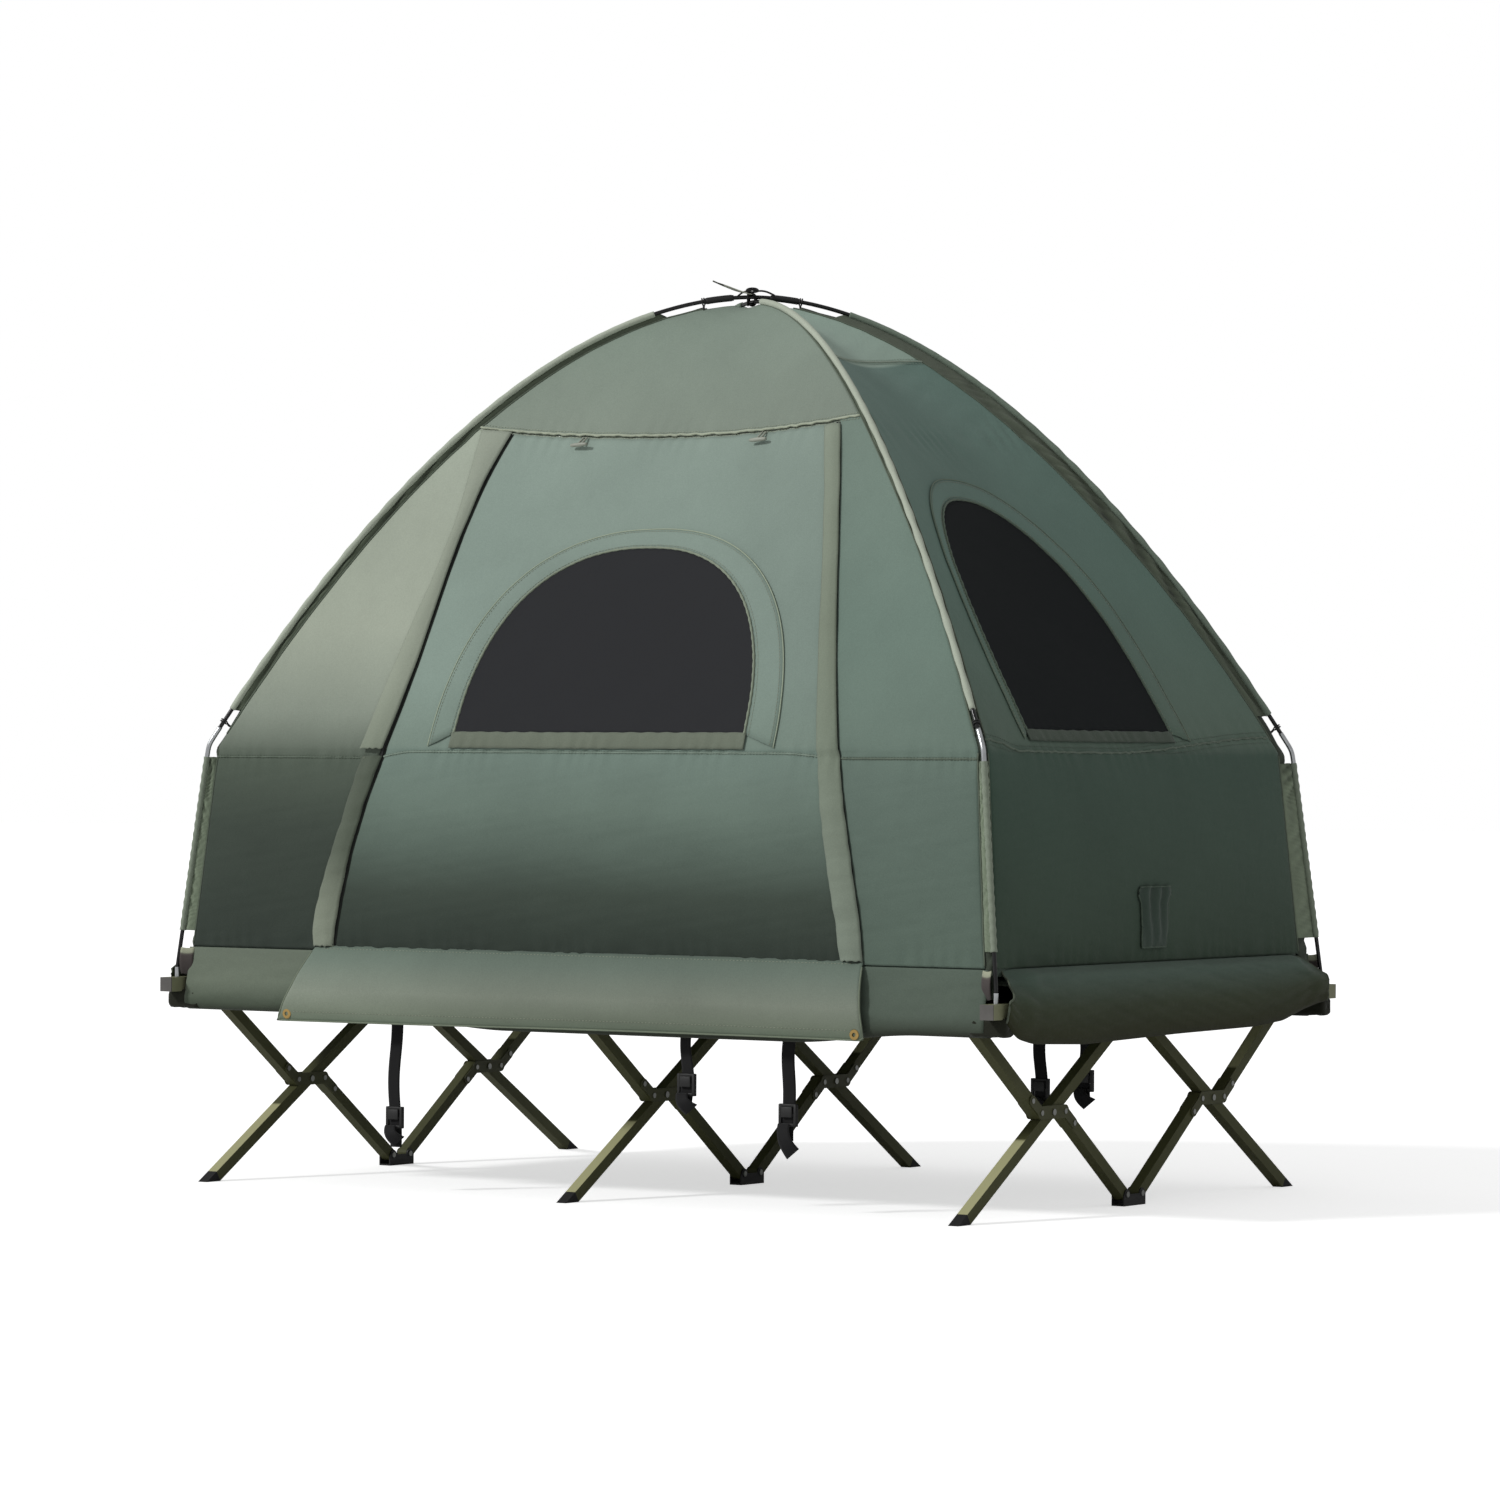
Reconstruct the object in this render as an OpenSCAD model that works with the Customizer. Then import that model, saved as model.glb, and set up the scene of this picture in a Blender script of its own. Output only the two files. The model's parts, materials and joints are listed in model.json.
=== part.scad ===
// Two-person folding camping cot with a dome tent on it.
// X runs along the cot, Y across it, Z up. The origin is on the ground at the cot's middle.

/* [Cot frame] */
// Distance between the two end bars, centre to centre
bed_len = 1900; // [1900:10:2000]
// Distance between the two side rails, centre to centre
bed_w = 1200; // [1200:10:1260]
// Outer width of the square rails and end bars
rail = 28; // [28:1:30]
// Wall of the rails and end bars
rail_wall = 1.5; // [1.2:0.1:2]
// Height of the rail centres above the ground
rail_z = 359; // [359:1:380]
// Length of each end bar with its plugs
bar_len = 1296; // [1296:2:1340]

/* [Folding legs] */
// Distance from the middle leg set to an end leg set
leg_pitch = 870; // [840:5:880]
// Outer width of the square leg tube
leg = 22; // [20:1:22]
// Wall of the leg tube
leg_wall = 1.5; // [1.2:0.1:2]
// Distance from a rail's centre to its leg pivot
pivot_out = 28; // [28:1:32]
// Height of the foot pivots
foot_z = 22; // [22:1:24]
// Sideways offset of the two half tubes from the crossing pivot
half_offset = 25; // [25:1:27]
// Radius of every pivot pin
pin_r = 3; // [3:0.5:4]

/* [Poles] */
// Radius of the fibreglass poles
pole_r = 4; // [3.5:0.5:4.5]
// Elbow's place along X
elbow_x = 899; // [890:1:905]
// Elbow's place along Y
elbow_y = 581; // [575:1:585]
// Height of the elbows
elbow_z = 861; // [850:1:880]
// Height of the upper arch at its crown
apex_z = 1752; // [1720:1:1780]
// Exponent of the arch curve
arch_power = 1.9; // [1.85:0.01:1.95]
// Inward lean of the lower poles in degrees
lower_lean = 7.72; // [7.4:0.02:8]

/* [Canopy] */
// Thickness of the cloth panels
cloth = 2; // [1.6:0.2:2.4]
// Gap between a wall's edge and its pole
wing_w = 34; // [30:1:38]
// How far each wall is pulled in between its poles
wall_sag = 34; // [20:1:40]
// Height of the seam above the doors
door_top_z = 1496; // [1480:2:1510]
// Height of the lower edge of the walls
hem_z = 466; // [464:1:480]
// Half width of a door at its top seam
door_top_half = 375; // [360:1:380]
// Half width of a door at the lower edge of the wall
door_hem_half = 600; // [580:1:605]
// Height of the bottom of the door's weather flap
flap_z = 324; // [320:1:330]
// Half width of the weather flap at its bottom
flap_half = 680; // [660:1:690]

/* [Hidden] */

// Shared clearances and small sizes
run = 0.05;              // radial clearance of a running pin
side_gap = 0.4;          // gap between a leg tube and the plate beside it
plate_t = 2.5;           // thickness of plates and brackets
ear_r = 10;              // radius of a bracket's ear round its pin
cap_t = 2;               // thickness of a cap's head
plug_depth = 6;          // how far a plug reaches into its tube
seat_gap = 0.5;          // gap between stacked parts
peg_r = 4;               // radius of a locating peg
peg_h = 5;               // depth of a locating peg below its rail's top
slot_play = 8;           // play of a peg in its slot, each way across the rail
pin_post_r = 2.5;        // radius of a pole pin
pin_post_h = 14;         // height of a pole pin above its bar
ferrule_r = 4.75;        // outer radius of ferrules and elbows
ferrule_h = 20;          // height of a pole ferrule
elbow_bend_r = 60;       // bend radius of an elbow
elbow_leg = 30;          // straight length each side of an elbow's bend
arch_drop = 10;          // how far the lower arch passes under the upper one

half_w = bed_w / 2;
half_len = bed_len / 2;
rail_half_len = half_len + 12;
rail_top = rail_z + rail / 2;
bar_z = rail_top + seat_gap + rail / 2;
bar_top = bar_z + rail / 2;
leg_sets = [-leg_pitch, 0, leg_pitch];

// Leg geometry in the plane of one leg set, u outward from the centre line, z up
in_u = pivot_out;
out_u = half_w - pivot_out;
cross_u = (in_u + out_u) / 2;
cross_z = (rail_z + foot_z) / 2;
leg_angle = atan2(rail_z - foot_z, out_u - in_u);
half_span = norm([out_u - in_u, rail_z - foot_z]) / 2;
half_lean = asin(half_offset / half_span);
half_reach = half_span * cos(half_lean);
half_end = half_reach - 30;
leg_tip = (foot_z - leg / 2 * cos(leg_angle)) / sin(leg_angle) - 1;
rivet_r = 3.5;
plate_x = leg / 2 + side_gap;
plate_out = plate_x + plate_t;

// Pole geometry along a diagonal, r outward from the centre, z up
diag = atan2(elbow_y, elbow_x);
elbow_r = norm([elbow_x, elbow_y]);
dx = cos(diag);
dy = sin(diag);
lean_slope = tan(lower_lean);
crown_rise = apex_z - elbow_z;
foot_r = elbow_r + lean_slope * (elbow_z - bar_top - ferrule_h);
arch_tangent = atan(crown_rise * arch_power / elbow_r);
elbow_turn = 90 - lower_lean - arch_tangent;
elbow_cut = elbow_bend_r * tan(elbow_turn / 2) + elbow_leg;
arch_end = 1 - elbow_cut * cos(arch_tangent) / elbow_r;
lower_pole_len = (elbow_z - bar_top - ferrule_h) / cos(lower_lean);

function arch_z(s, drop = 0) = elbow_z + (crown_rise - drop) * (1 - pow(s, arch_power));
// The pole line runs from the crown (t = 0) past the elbow (t = 1) to the walls' hem (t = 2)
function line_z(t) = t <= 1 ? arch_z(t) : elbow_z - (t - 1) * (elbow_z - hem_z);
function line_r(t) = t <= 1 ? elbow_r * t : elbow_r + lean_slope * (elbow_z - line_z(t));
function t_at(z) = z >= elbow_z
    ? pow(1 - (z - elbow_z) / crown_rise, 1 / arch_power)
    : 1 + (elbow_z - z) / (elbow_z - hem_z);

// A wall's surface: w is -1 to 1 across it, and depth is measured inward from its outer face.
// long is true for the front and back walls. The result is [along, outward, z].
function under_pole(t) = 9 + 7 * max(0, 1 - t);
function out_k(long) = long ? dy : dx;
function along_k(long) = long ? dx : dy;
function wall_half(long, t) = line_r(t) * along_k(long) - wing_w * (1 - exp(-4 * t));
function wall_in(long, t) =
    let (e = 0.01,
         d = [out_k(long) * (line_r(t + e) - line_r(t - e)), line_z(t + e) - line_z(t - e)])
    [d[1], -d[0]] / norm(d);
function sag_at(t) = wall_sag * (t <= 1 ? sin(180 * pow(t, 0.8)) * 0.8 + 0.25 * t : 0.25 * (2 - t));
function wall_at(long, u, t, depth = 0) =
    let (half = max(wall_half(long, t), 1),
         w = u / half,
         n = wall_in(long, t),
         k = depth + under_pole(t) + sag_at(t) * max(0, 1 - w * w))
    [u, out_k(long) * line_r(t) + n[0] * k, line_z(t) + n[1] * k];
function door_half(z) = door_top_half
    + (door_hem_half - door_top_half) * (door_top_z - z) / (door_top_z - hem_z);

// Places a surface point on one side: 0 front, 1 right, 2 back, 3 left
function place(side, p) = side == 0 ? [p[0], -p[1], p[2]]
    : side == 1 ? [p[1], p[0], p[2]]
    : side == 2 ? [-p[0], p[1], p[2]]
    : [-p[1], -p[0], p[2]];

// A closed sheet over two matching grids of points, one for each face
module sheet(outer, inner) {
    rows = len(outer) - 1;
    cols = len(outer[0]) - 1;
    n = (rows + 1) * (cols + 1);
    points = concat([for (row = outer) each row], [for (row = inner) each row]);
    function at(i, j, k) = k * n + j * (cols + 1) + i;
    faces = concat(
        [for (j = [0:rows - 1], i = [0:cols - 1])
            each [[at(i, j, 0), at(i + 1, j, 0), at(i + 1, j + 1, 0)],
                  [at(i, j, 0), at(i + 1, j + 1, 0), at(i, j + 1, 0)],
                  [at(i, j, 1), at(i + 1, j + 1, 1), at(i + 1, j, 1)],
                  [at(i, j, 1), at(i, j + 1, 1), at(i + 1, j + 1, 1)]]],
        [for (i = [0:cols - 1])
            each [[at(i, 0, 0), at(i, 0, 1), at(i + 1, 0, 1), at(i + 1, 0, 0)],
                  [at(i, rows, 0), at(i + 1, rows, 0), at(i + 1, rows, 1), at(i, rows, 1)]]],
        [for (j = [0:rows - 1])
            each [[at(0, j, 0), at(0, j + 1, 0), at(0, j + 1, 1), at(0, j, 1)],
                  [at(cols, j, 0), at(cols, j, 1), at(cols, j + 1, 1), at(cols, j + 1, 0)]]]);
    polyhedron(points, faces, convexity = 6);
}

// A piece of one wall between heights z_hi and z_lo, from u = from(z) to u = to(z)
module wall_piece(side, z_hi, z_lo, from, to, rows, cols, proud = 0, thick = cloth) {
    long = side % 2 == 0;
    function grid(depth) = [for (j = [0:rows])
        let (z = z_hi + (z_lo - z_hi) * j / rows, t = t_at(z))
        [for (i = [0:cols])
            place(side, wall_at(long, from(z) + (to(z) - from(z)) * i / cols, t, depth))]];
    sheet(grid(-proud), grid(thick - proud));
}

// A round bar along a list of points. level is any direction that the bar never runs along.
module bar_along(points, r, sides = 8, level = [0.02, 0.03, 1]) {
    last = len(points) - 1;
    rings = [for (i = [0:last])
        let (d = points[min(i + 1, last)] - points[max(i - 1, 0)],
             f = d / norm(d),
             a = cross(f, level),
             p = a / norm(a),
             q = cross(f, p))
        [for (k = [0:sides - 1])
            points[i] + r * (cos(360 * k / sides) * p + sin(360 * k / sides) * q)]];
    ring_points = [for (ring = rings) each ring];
    faces = concat(
        [[for (k = [0:sides - 1]) k]],
        [for (i = [0:last - 1], k = [0:sides - 1])
            [i * sides + k, (i + 1) * sides + k,
             (i + 1) * sides + (k + 1) % sides, i * sides + (k + 1) % sides]],
        [[for (k = [sides - 1:-1:0]) last * sides + k]]);
    polyhedron(ring_points, faces, convexity = 4);
}

module box(low, high) {
    translate(low) cube(high - low);
}

// A square tube along +X from x = 0
module square_tube(length, width, wall) {
    difference() {
        translate([0, -width / 2, -width / 2]) cube([length, width, width]);
        translate([-1, -width / 2 + wall, -width / 2 + wall])
            cube([length + 2, width - 2 * wall, width - 2 * wall]);
    }
}

// A pin along X, centred at x = 0
module x_pin(length, r) {
    rotate([0, 90, 0]) cylinder(h = length, r = r, center = true, $fn = 32);
}

// Draws the children once for each leg set
module each_leg_set() {
    for (x = leg_sets) translate([x, 0, 0]) children();
}

// ---------- cot frame ----------
module rail_tube(y) {
    slot = peg_r + 0.5;
    color([0.27, 0.29, 0.20]) difference() {
        translate([-rail_half_len, y, rail_z])
            square_tube(2 * rail_half_len, rail, rail_wall);
        for (side = [-1, 1])
            box([side * half_len - slot, y - peg_r - slot_play, rail_top - 2],
                [side * half_len + slot, y + peg_r + slot_play, rail_top + 1]);
    }
}
module centre_rail() rail_tube(0);
module front_rail() rail_tube(-half_w);
module back_rail() rail_tube(half_w);

// A plug with a head that covers the end of a square tube, pointing along +X
module tube_plug(width, wall) {
    inner = width - 2 * wall - 0.2;
    translate([0, -width / 2, -width / 2]) cube([cap_t, width, width]);
    translate([-plug_depth, -inner / 2, -inner / 2]) cube([plug_depth, inner, inner]);
}
module rail_caps(y) {
    color([0.06, 0.06, 0.06])
        for (side = [-1, 1]) scale([side, 1, 1])
            translate([rail_half_len, y, rail_z]) tube_plug(rail, rail_wall);
}
module rail_caps_front() rail_caps(-half_w);
module rail_caps_centre() rail_caps(0);
module rail_caps_back() rail_caps(half_w);

// Pegs under the end bars drop into slots in the rail tops and leave them room to draw in
module locating_pegs() {
    color([0.60, 0.60, 0.58])
        for (side = [-1, 1], y = [-half_w, 0, half_w])
            translate([side * half_len, y, rail_top - peg_h])
                cylinder(h = peg_h + seat_gap, r = peg_r, $fn = 32);
}

module end_bars() {
    color([0.33, 0.35, 0.25])
        for (side = [-1, 1])
            translate([side * half_len, -bar_len / 2 + cap_t, bar_z]) rotate([0, 0, 90])
                square_tube(bar_len - 2 * cap_t, rail, rail_wall);
}
module end_bar_plugs() {
    color([0.05, 0.05, 0.05])
        for (side = [-1, 1], end = [-1, 1])
            translate([side * half_len, end * (bar_len / 2 - cap_t), bar_z])
                rotate([0, 0, end * 90]) tube_plug(rail, rail_wall);
}
module pole_pins() {
    color([0.62, 0.62, 0.60])
        for (sx = [-1, 1], sy = [-1, 1])
            translate([sx * foot_r * dx, sy * foot_r * dy, bar_top])
                cylinder(h = pin_post_h, r = pin_post_r, $fn = 32);
}

// ---------- folding legs ----------
// A leg tube in the YZ plane from (u0, z0) at an angle, with one rounded, bored end at the start
module leg_tube(u0, z0, angle, from, to, bores) {
    translate([0, u0, z0]) rotate([angle, 0, 0]) difference() {
        union() {
            translate([-leg / 2, from, -leg / 2]) cube([leg, to - from, leg]);
            if (from == 0) x_pin(leg, leg / 2);
        }
        translate([-leg / 2 + leg_wall, from - (from == 0 ? 0 : 1), -leg / 2 + leg_wall])
            cube([leg - 2 * leg_wall, to - from + 2, leg - 2 * leg_wall]);
        for (b = bores) translate([0, b, 0]) x_pin(leg + 2, pin_r + run);
    }
}

// The broken leg: a foot half and a rail half, both aimed past the crossing pivot
module half_legs() {
    color([0.25, 0.27, 0.18]) each_leg_set() {
        leg_tube(in_u, foot_z, leg_angle + half_lean, 0, half_end, [0]);
        leg_tube(out_u, rail_z, leg_angle + half_lean + 180, 0, half_end, [0]);
    }
}

// Draws the children in the broken leg's own frame: +Y along the leg, origin on the crossing
module at_crossing() {
    translate([0, cross_u, cross_z]) rotate([leg_angle, 0, 0]) children();
}

// Rivet places on one side plate, along and across the broken leg
rivet_near = 36;
rivet_far = 76;
function rivet_across(along) = half_offset - tan(half_lean) * along;

// A flat link with round ends between two points
module link(p, q, r) {
    d = q - p;
    translate(p) circle(r = r);
    translate(q) circle(r = r);
    translate(p) rotate(atan2(d[1], d[0])) translate([0, -r]) square([norm(d), 2 * r]);
}
module plate_outline() {
    $fn = 32;
    near = [rivet_near, -rivet_across(rivet_near)];
    far = [rivet_far, -rivet_across(rivet_far)];
    difference() {
        union() for (turn = [0, 180]) rotate(turn) {
            link([0, 0], near, 12.5);
            link(near, far, 10);
        }
        circle(r = pin_r + run);
        for (turn = [0, 180], spot = [near, far]) rotate(turn)
            translate(spot) circle(r = rivet_r + run);
    }
}

// Plates on both faces of the crossing. Their outline is drawn with +X along the leg.
module cross_plates() {
    color([0.22, 0.24, 0.17]) each_leg_set() at_crossing()
        for (x = [-plate_out, plate_x]) translate([x, 0, 0])
            rotate([90, 0, 90]) linear_extrude(plate_t) plate_outline();
}

module plate_rivets() {
    head_h = 1.4;
    color([0.55, 0.56, 0.52]) each_leg_set() at_crossing()
        for (turn = [0, 180], along = [rivet_near, rivet_far]) rotate([turn, 0, 0])
            translate([0, along, -rivet_across(along)]) {
                for (x = [-1, 1]) translate([x * (plate_out - 1.2), 0, 0])
                    x_pin(2.4, rivet_r);
                for (x = [-1, 1]) translate([x * (plate_out + head_h / 2), 0, 0])
                    x_pin(head_h, rivet_r + 1.5);
            }
}

// The crossing pin turns with the straight leg and runs in the side plates
module cross_pins() {
    head_h = 2;
    color([0.60, 0.61, 0.58]) each_leg_set() translate([0, cross_u, cross_z]) {
        x_pin(2 * plate_out + 0.6, pin_r);
        for (x = [-1, 1])
            translate([x * (plate_out + 0.2 + head_h / 2), 0, 0]) x_pin(head_h, pin_r + 3);
    }
}

module straight_legs() {
    color([0.27, 0.29, 0.19]) each_leg_set()
        leg_tube(in_u, rail_z, -leg_angle, 0, 2 * half_span + leg_tip, [0, half_span]);
}

// A rubber toe plugged into the end of each straight leg, cut flat along the ground
module foot_caps() {
    plug = 18;
    core = leg - 2 * leg_wall - 0.2;
    toe = 60;
    color([0.05, 0.05, 0.05]) each_leg_set() intersection() {
        translate([0, out_u, foot_z]) rotate([-leg_angle, 0, 0]) {
            translate([-core / 2, leg_tip - plug, -core / 2]) cube([core, plug + 1, core]);
            translate([-leg / 2, leg_tip + 0.1, -leg / 2]) cube([leg, toe, leg]);
        }
        box([-leg, out_u - toe, 0], [leg, out_u + 2 * toe, 2 * foot_z]);
    }
}

// A bracket's two ears with a web between them, riveted to the rail face at face_u
module hanger(pin_u, pin_z, face_u) {
    turn = face_u > pin_u ? 1 : -1;
    for (x = [-plate_out, plate_x]) difference() {
        union() {
            translate([x + plate_t / 2, pin_u, pin_z]) x_pin(plate_t, ear_r);
            box([x, min(pin_u, face_u), pin_z - ear_r],
                [x + plate_t, max(pin_u, face_u), pin_z + ear_r]);
        }
        translate([x + plate_t / 2, pin_u, pin_z]) x_pin(plate_t + 2, pin_r + run);
    }
    box([-plate_x, min(face_u, face_u - turn * plate_t), pin_z - ear_r],
        [plate_x, max(face_u, face_u - turn * plate_t), pin_z + ear_r]);
}
module hanger_pin(u, z) {
    head_h = 1.6;
    translate([0, u, z]) {
        x_pin(2 * plate_out + 0.4, pin_r);
        for (x = [-1, 1])
            translate([x * (plate_out + 0.1 + head_h / 2), 0, 0]) x_pin(head_h, pin_r + 2.5);
    }
}
module side_brackets() {
    color([0.20, 0.22, 0.15]) each_leg_set() hanger(out_u, rail_z, half_w - rail / 2);
}
module side_pins() {
    color([0.60, 0.61, 0.58]) each_leg_set() hanger_pin(out_u, rail_z);
}
module centre_hanger_brackets() {
    color([0.20, 0.22, 0.15]) each_leg_set() for (side = [-1, 1]) scale([1, side, 1])
        hanger(in_u, rail_z, rail / 2);
}
module centre_hanger_pins() {
    color([0.60, 0.61, 0.58]) each_leg_set() for (side = [-1, 1])
        hanger_pin(side * in_u, rail_z);
}

// The foot under the centre line holds both inner feet and stands on the ground
module centre_foot_brackets() {
    half = in_u + ear_r + 2;
    color([0.08, 0.08, 0.08]) each_leg_set() {
        for (x = [-plate_out, plate_x]) difference() {
            union() {
                box([x, -half, 0], [x + plate_t, half, foot_z]);
                for (side = [-1, 1]) translate([x + plate_t / 2, side * in_u, foot_z])
                    x_pin(plate_t, ear_r);
            }
            for (side = [-1, 1]) translate([x + plate_t / 2, side * in_u, foot_z])
                x_pin(plate_t + 2, pin_r + run);
        }
        box([-plate_out, -half, 0], [plate_out, half, 3]);
    }
}
module centre_foot_pins() {
    color([0.60, 0.61, 0.58]) each_leg_set() for (side = [-1, 1])
        hanger_pin(side * in_u, foot_z);
}

module front() scale([1, -1, 1]) children();
module front_half_legs() front() half_legs();
module front_cross_plates() front() cross_plates();
module front_plate_rivets() front() plate_rivets();
module front_cross_pins() front() cross_pins();
module front_straight_legs() front() straight_legs();
module front_foot_caps() front() foot_caps();
module front_hanger_brackets() front() side_brackets();
module front_hanger_pins() front() side_pins();
module back_half_legs() half_legs();
module back_cross_plates() cross_plates();
module back_plate_rivets() plate_rivets();
module back_cross_pins() cross_pins();
module back_straight_legs() straight_legs();
module back_foot_caps() foot_caps();
module back_hanger_brackets() side_brackets();
module back_hanger_pins() side_pins();

// ---------- bed cloth and straps ----------
module bed_sheet() {
    edge = half_w - rail / 2;
    end = half_len - rail / 2 - 5;
    color([0.20, 0.26, 0.22]) box([-end, -edge, rail_top + 2], [end, edge, rail_top + 6]);
}

// Cloth under and outside a side rail, rising to the walls' hem
module rail_sleeve() {
    end = half_len - rail / 2 - 10;
    out = half_w + rail / 2 + 1.5;
    low = rail_z - rail / 2 - 1.5;
    knee_z = rail_top + 6;
    top_out = half_w + 1;
    top = hem_z - 6;
    color([0.36, 0.40, 0.35]) translate([-end, 0, 0]) rotate([90, 0, 90])
        linear_extrude(2 * end) polygon([
            [half_w - 12, low - cloth], [out + cloth, low - cloth], [out + cloth, knee_z],
            [top_out + cloth, top], [top_out, top], [out, knee_z], [out, low],
            [half_w - 12, low]]);
}
module front_rail_sleeve() front() rail_sleeve();
module back_rail_sleeve() rail_sleeve();

// The bed cloth's rolled ends, between the side rails: over each end bar and down past the rails
bolster_half = half_w - rail / 2 - 12;
bolster_x = half_len + rail / 2 + 6;
module end_bolsters() {
    steps = 8;
    turn_r = 26;
    turn_z = bar_top + 34;
    turn_x = bolster_x - turn_r;
    start_x = half_len - rail / 2;
    skirt_z = rail_z - rail / 2 - 20;
    function arc(r) = [for (k = [0:steps]) let (a = 90 - 90 * k / steps)
        [turn_x + r * cos(a), turn_z + r * sin(a)]];
    color([0.17, 0.22, 0.19]) for (side = [0, 1]) rotate(180 * side)
        translate([0, bolster_half, 0]) rotate([90, 0, 0]) linear_extrude(2 * bolster_half)
            polygon(concat(
                [[start_x, turn_z + turn_r + cloth]], arc(turn_r + cloth),
                [[bolster_x + 4 + cloth, bar_z], [bolster_x + 2 + cloth, skirt_z],
                 [bolster_x + 2, skirt_z], [bolster_x + 4, bar_z]],
                reversed(arc(turn_r)), [[start_x, turn_z + turn_r]]));
}

// Webbing straps that tie up the folded cot, hanging beside the rails
strap_w = 25;
strap_t = 1.6;
front_straps = [[-445, 300], [238, 180], [470, 235]];
centre_straps = [[664, 150], [754, 175]];
module hanging_strap(x, y, drop) {
    box([x - strap_w / 2, y - strap_t / 2, rail_z - drop],
        [x + strap_w / 2, y + strap_t / 2, rail_z + 12]);
}
module side_buckle(x, y, z) {
    difference() {
        box([x - 18, y - 5, z - 22], [x + 18, y + 5, z + 22]);
        box([x - strap_w / 2 - 0.5, y - strap_t / 2 - 0.4, z - 30],
            [x + strap_w / 2 + 0.5, y + strap_t / 2 + 0.4, z + 30]);
    }
}
front_strap_y = -(half_w - rail / 2 - 6.5);
centre_strap_y = rail / 2 + 6.5;
module front_bed_straps() {
    color([0.04, 0.04, 0.04]) for (s = front_straps) hanging_strap(s[0], front_strap_y, s[1]);
}
module front_strap_buckles() {
    color([0.03, 0.03, 0.03]) for (s = front_straps)
        side_buckle(s[0], front_strap_y, rail_z - s[1] + 60);
}
module centre_bed_straps() {
    color([0.04, 0.04, 0.04]) for (s = centre_straps) hanging_strap(s[0], centre_strap_y, s[1]);
}
module centre_strap_buckles() {
    color([0.03, 0.03, 0.03]) for (s = centre_straps)
        side_buckle(s[0], centre_strap_y, rail_z - s[1] + 40);
}

// ---------- poles ----------
// Draws the children in the diagonal plane of each pole foot: +X outward along the diagonal
module each_corner(corners = [0:3]) {
    for (c = corners)
        rotate(c == 0 ? diag : c == 1 ? 180 - diag : c == 2 ? 180 + diag : -diag) children();
}
module pole_ferrules() {
    color([0.70, 0.71, 0.72]) each_corner()
        translate([foot_r, 0, bar_top + 0.3]) difference() {
            cylinder(h = ferrule_h - 0.6, r = ferrule_r, $fn = 48);
            translate([0, 0, -1]) cylinder(h = pin_post_h + 2, r = pin_post_r + run, $fn = 48);
        }
}
module lower_poles() {
    color([0.03, 0.03, 0.03]) each_corner()
        translate([foot_r, 0, bar_top + ferrule_h]) rotate([0, -lower_lean, 0])
            translate([0, 0, 0.6])
                cylinder(h = lower_pole_len - elbow_cut - 1, r = pole_r, $fn = 32);
}
// A bent tube: straight, round a bend towards the crown, and straight again
module pole_elbows() {
    steps = 6;
    back = elbow_bend_r * tan(elbow_turn / 2);
    bend = [for (k = [0:steps]) let (a = elbow_turn * k / steps)
        [-elbow_bend_r * (1 - cos(a)), 0, -back + elbow_bend_r * sin(a)]];
    top = [-elbow_cut * sin(elbow_turn), 0, elbow_cut * cos(elbow_turn)];
    color([0.72, 0.73, 0.74]) each_corner()
        translate([elbow_r, 0, elbow_z]) rotate([0, -lower_lean, 0])
            bar_along(concat([[0, 0, -elbow_cut]], bend, [top]), ferrule_r, 14, [0, 1, 0]);
}
// Half an arch as points from its elbow to its crown, in one diagonal direction
arch_steps = 10;
arch_from = arch_end - 0.001;
function half_arch(angle, drop) = [for (k = [0:arch_steps])
    let (s = arch_from * (1 - k / arch_steps))
    [elbow_r * s * cos(angle), elbow_r * s * sin(angle), arch_z(s, drop)]];
function reversed(list) = [for (k = [len(list) - 1:-1:0]) list[k]];
module arch(angle, drop) {
    one = half_arch(angle, drop);
    other = reversed(half_arch(angle + 180, drop));
    bar_along(concat(one, [for (k = [1:arch_steps]) other[k]]), pole_r);
}
module upper_arch() color([0.03, 0.03, 0.03]) arch(180 + diag, 0);
module lower_arch() color([0.03, 0.03, 0.03]) arch(-diag, arch_drop);

// A short tube slipped over the upper arch on each side of the crossing
module arch_crown_sleeve() {
    out = 60;
    length = 56;
    step = arch_from / arch_steps;
    slope = atan((apex_z - arch_z(step)) / (elbow_r * step));
    color([0.04, 0.04, 0.04]) for (turn = [0, 180]) rotate(diag + turn)
        translate([out, 0, apex_z - out * tan(slope)]) rotate([0, 90 + slope, 0])
            difference() {
                cylinder(h = length, r = pole_r + 2.8, center = true, $fn = 32);
                cylinder(h = length + 2, r = pole_r + 0.8, center = true, $fn = 32);
            }
}
// A cord tied in a bow over the crossing, and a sewn webbing tab beside it
module crown_ties() {
    steps = 14;
    color([0.02, 0.02, 0.02]) for (side = [-1, 1])
        bar_along([for (k = [0:steps]) let (a = 330 * k / steps)
            [side * (8 + 16 * (1 - cos(a)) / 2), side * 13 * sin(a), apex_z + 8 + 8 * sin(a / 2)]],
            1.6, 6);
    color([0.60, 0.60, 0.53]) translate([0, 0, apex_z + 4]) rotate([0, -20, 180 + diag])
        box([32, -10, -0.8], [84, 10, 0.8]);
}

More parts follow.
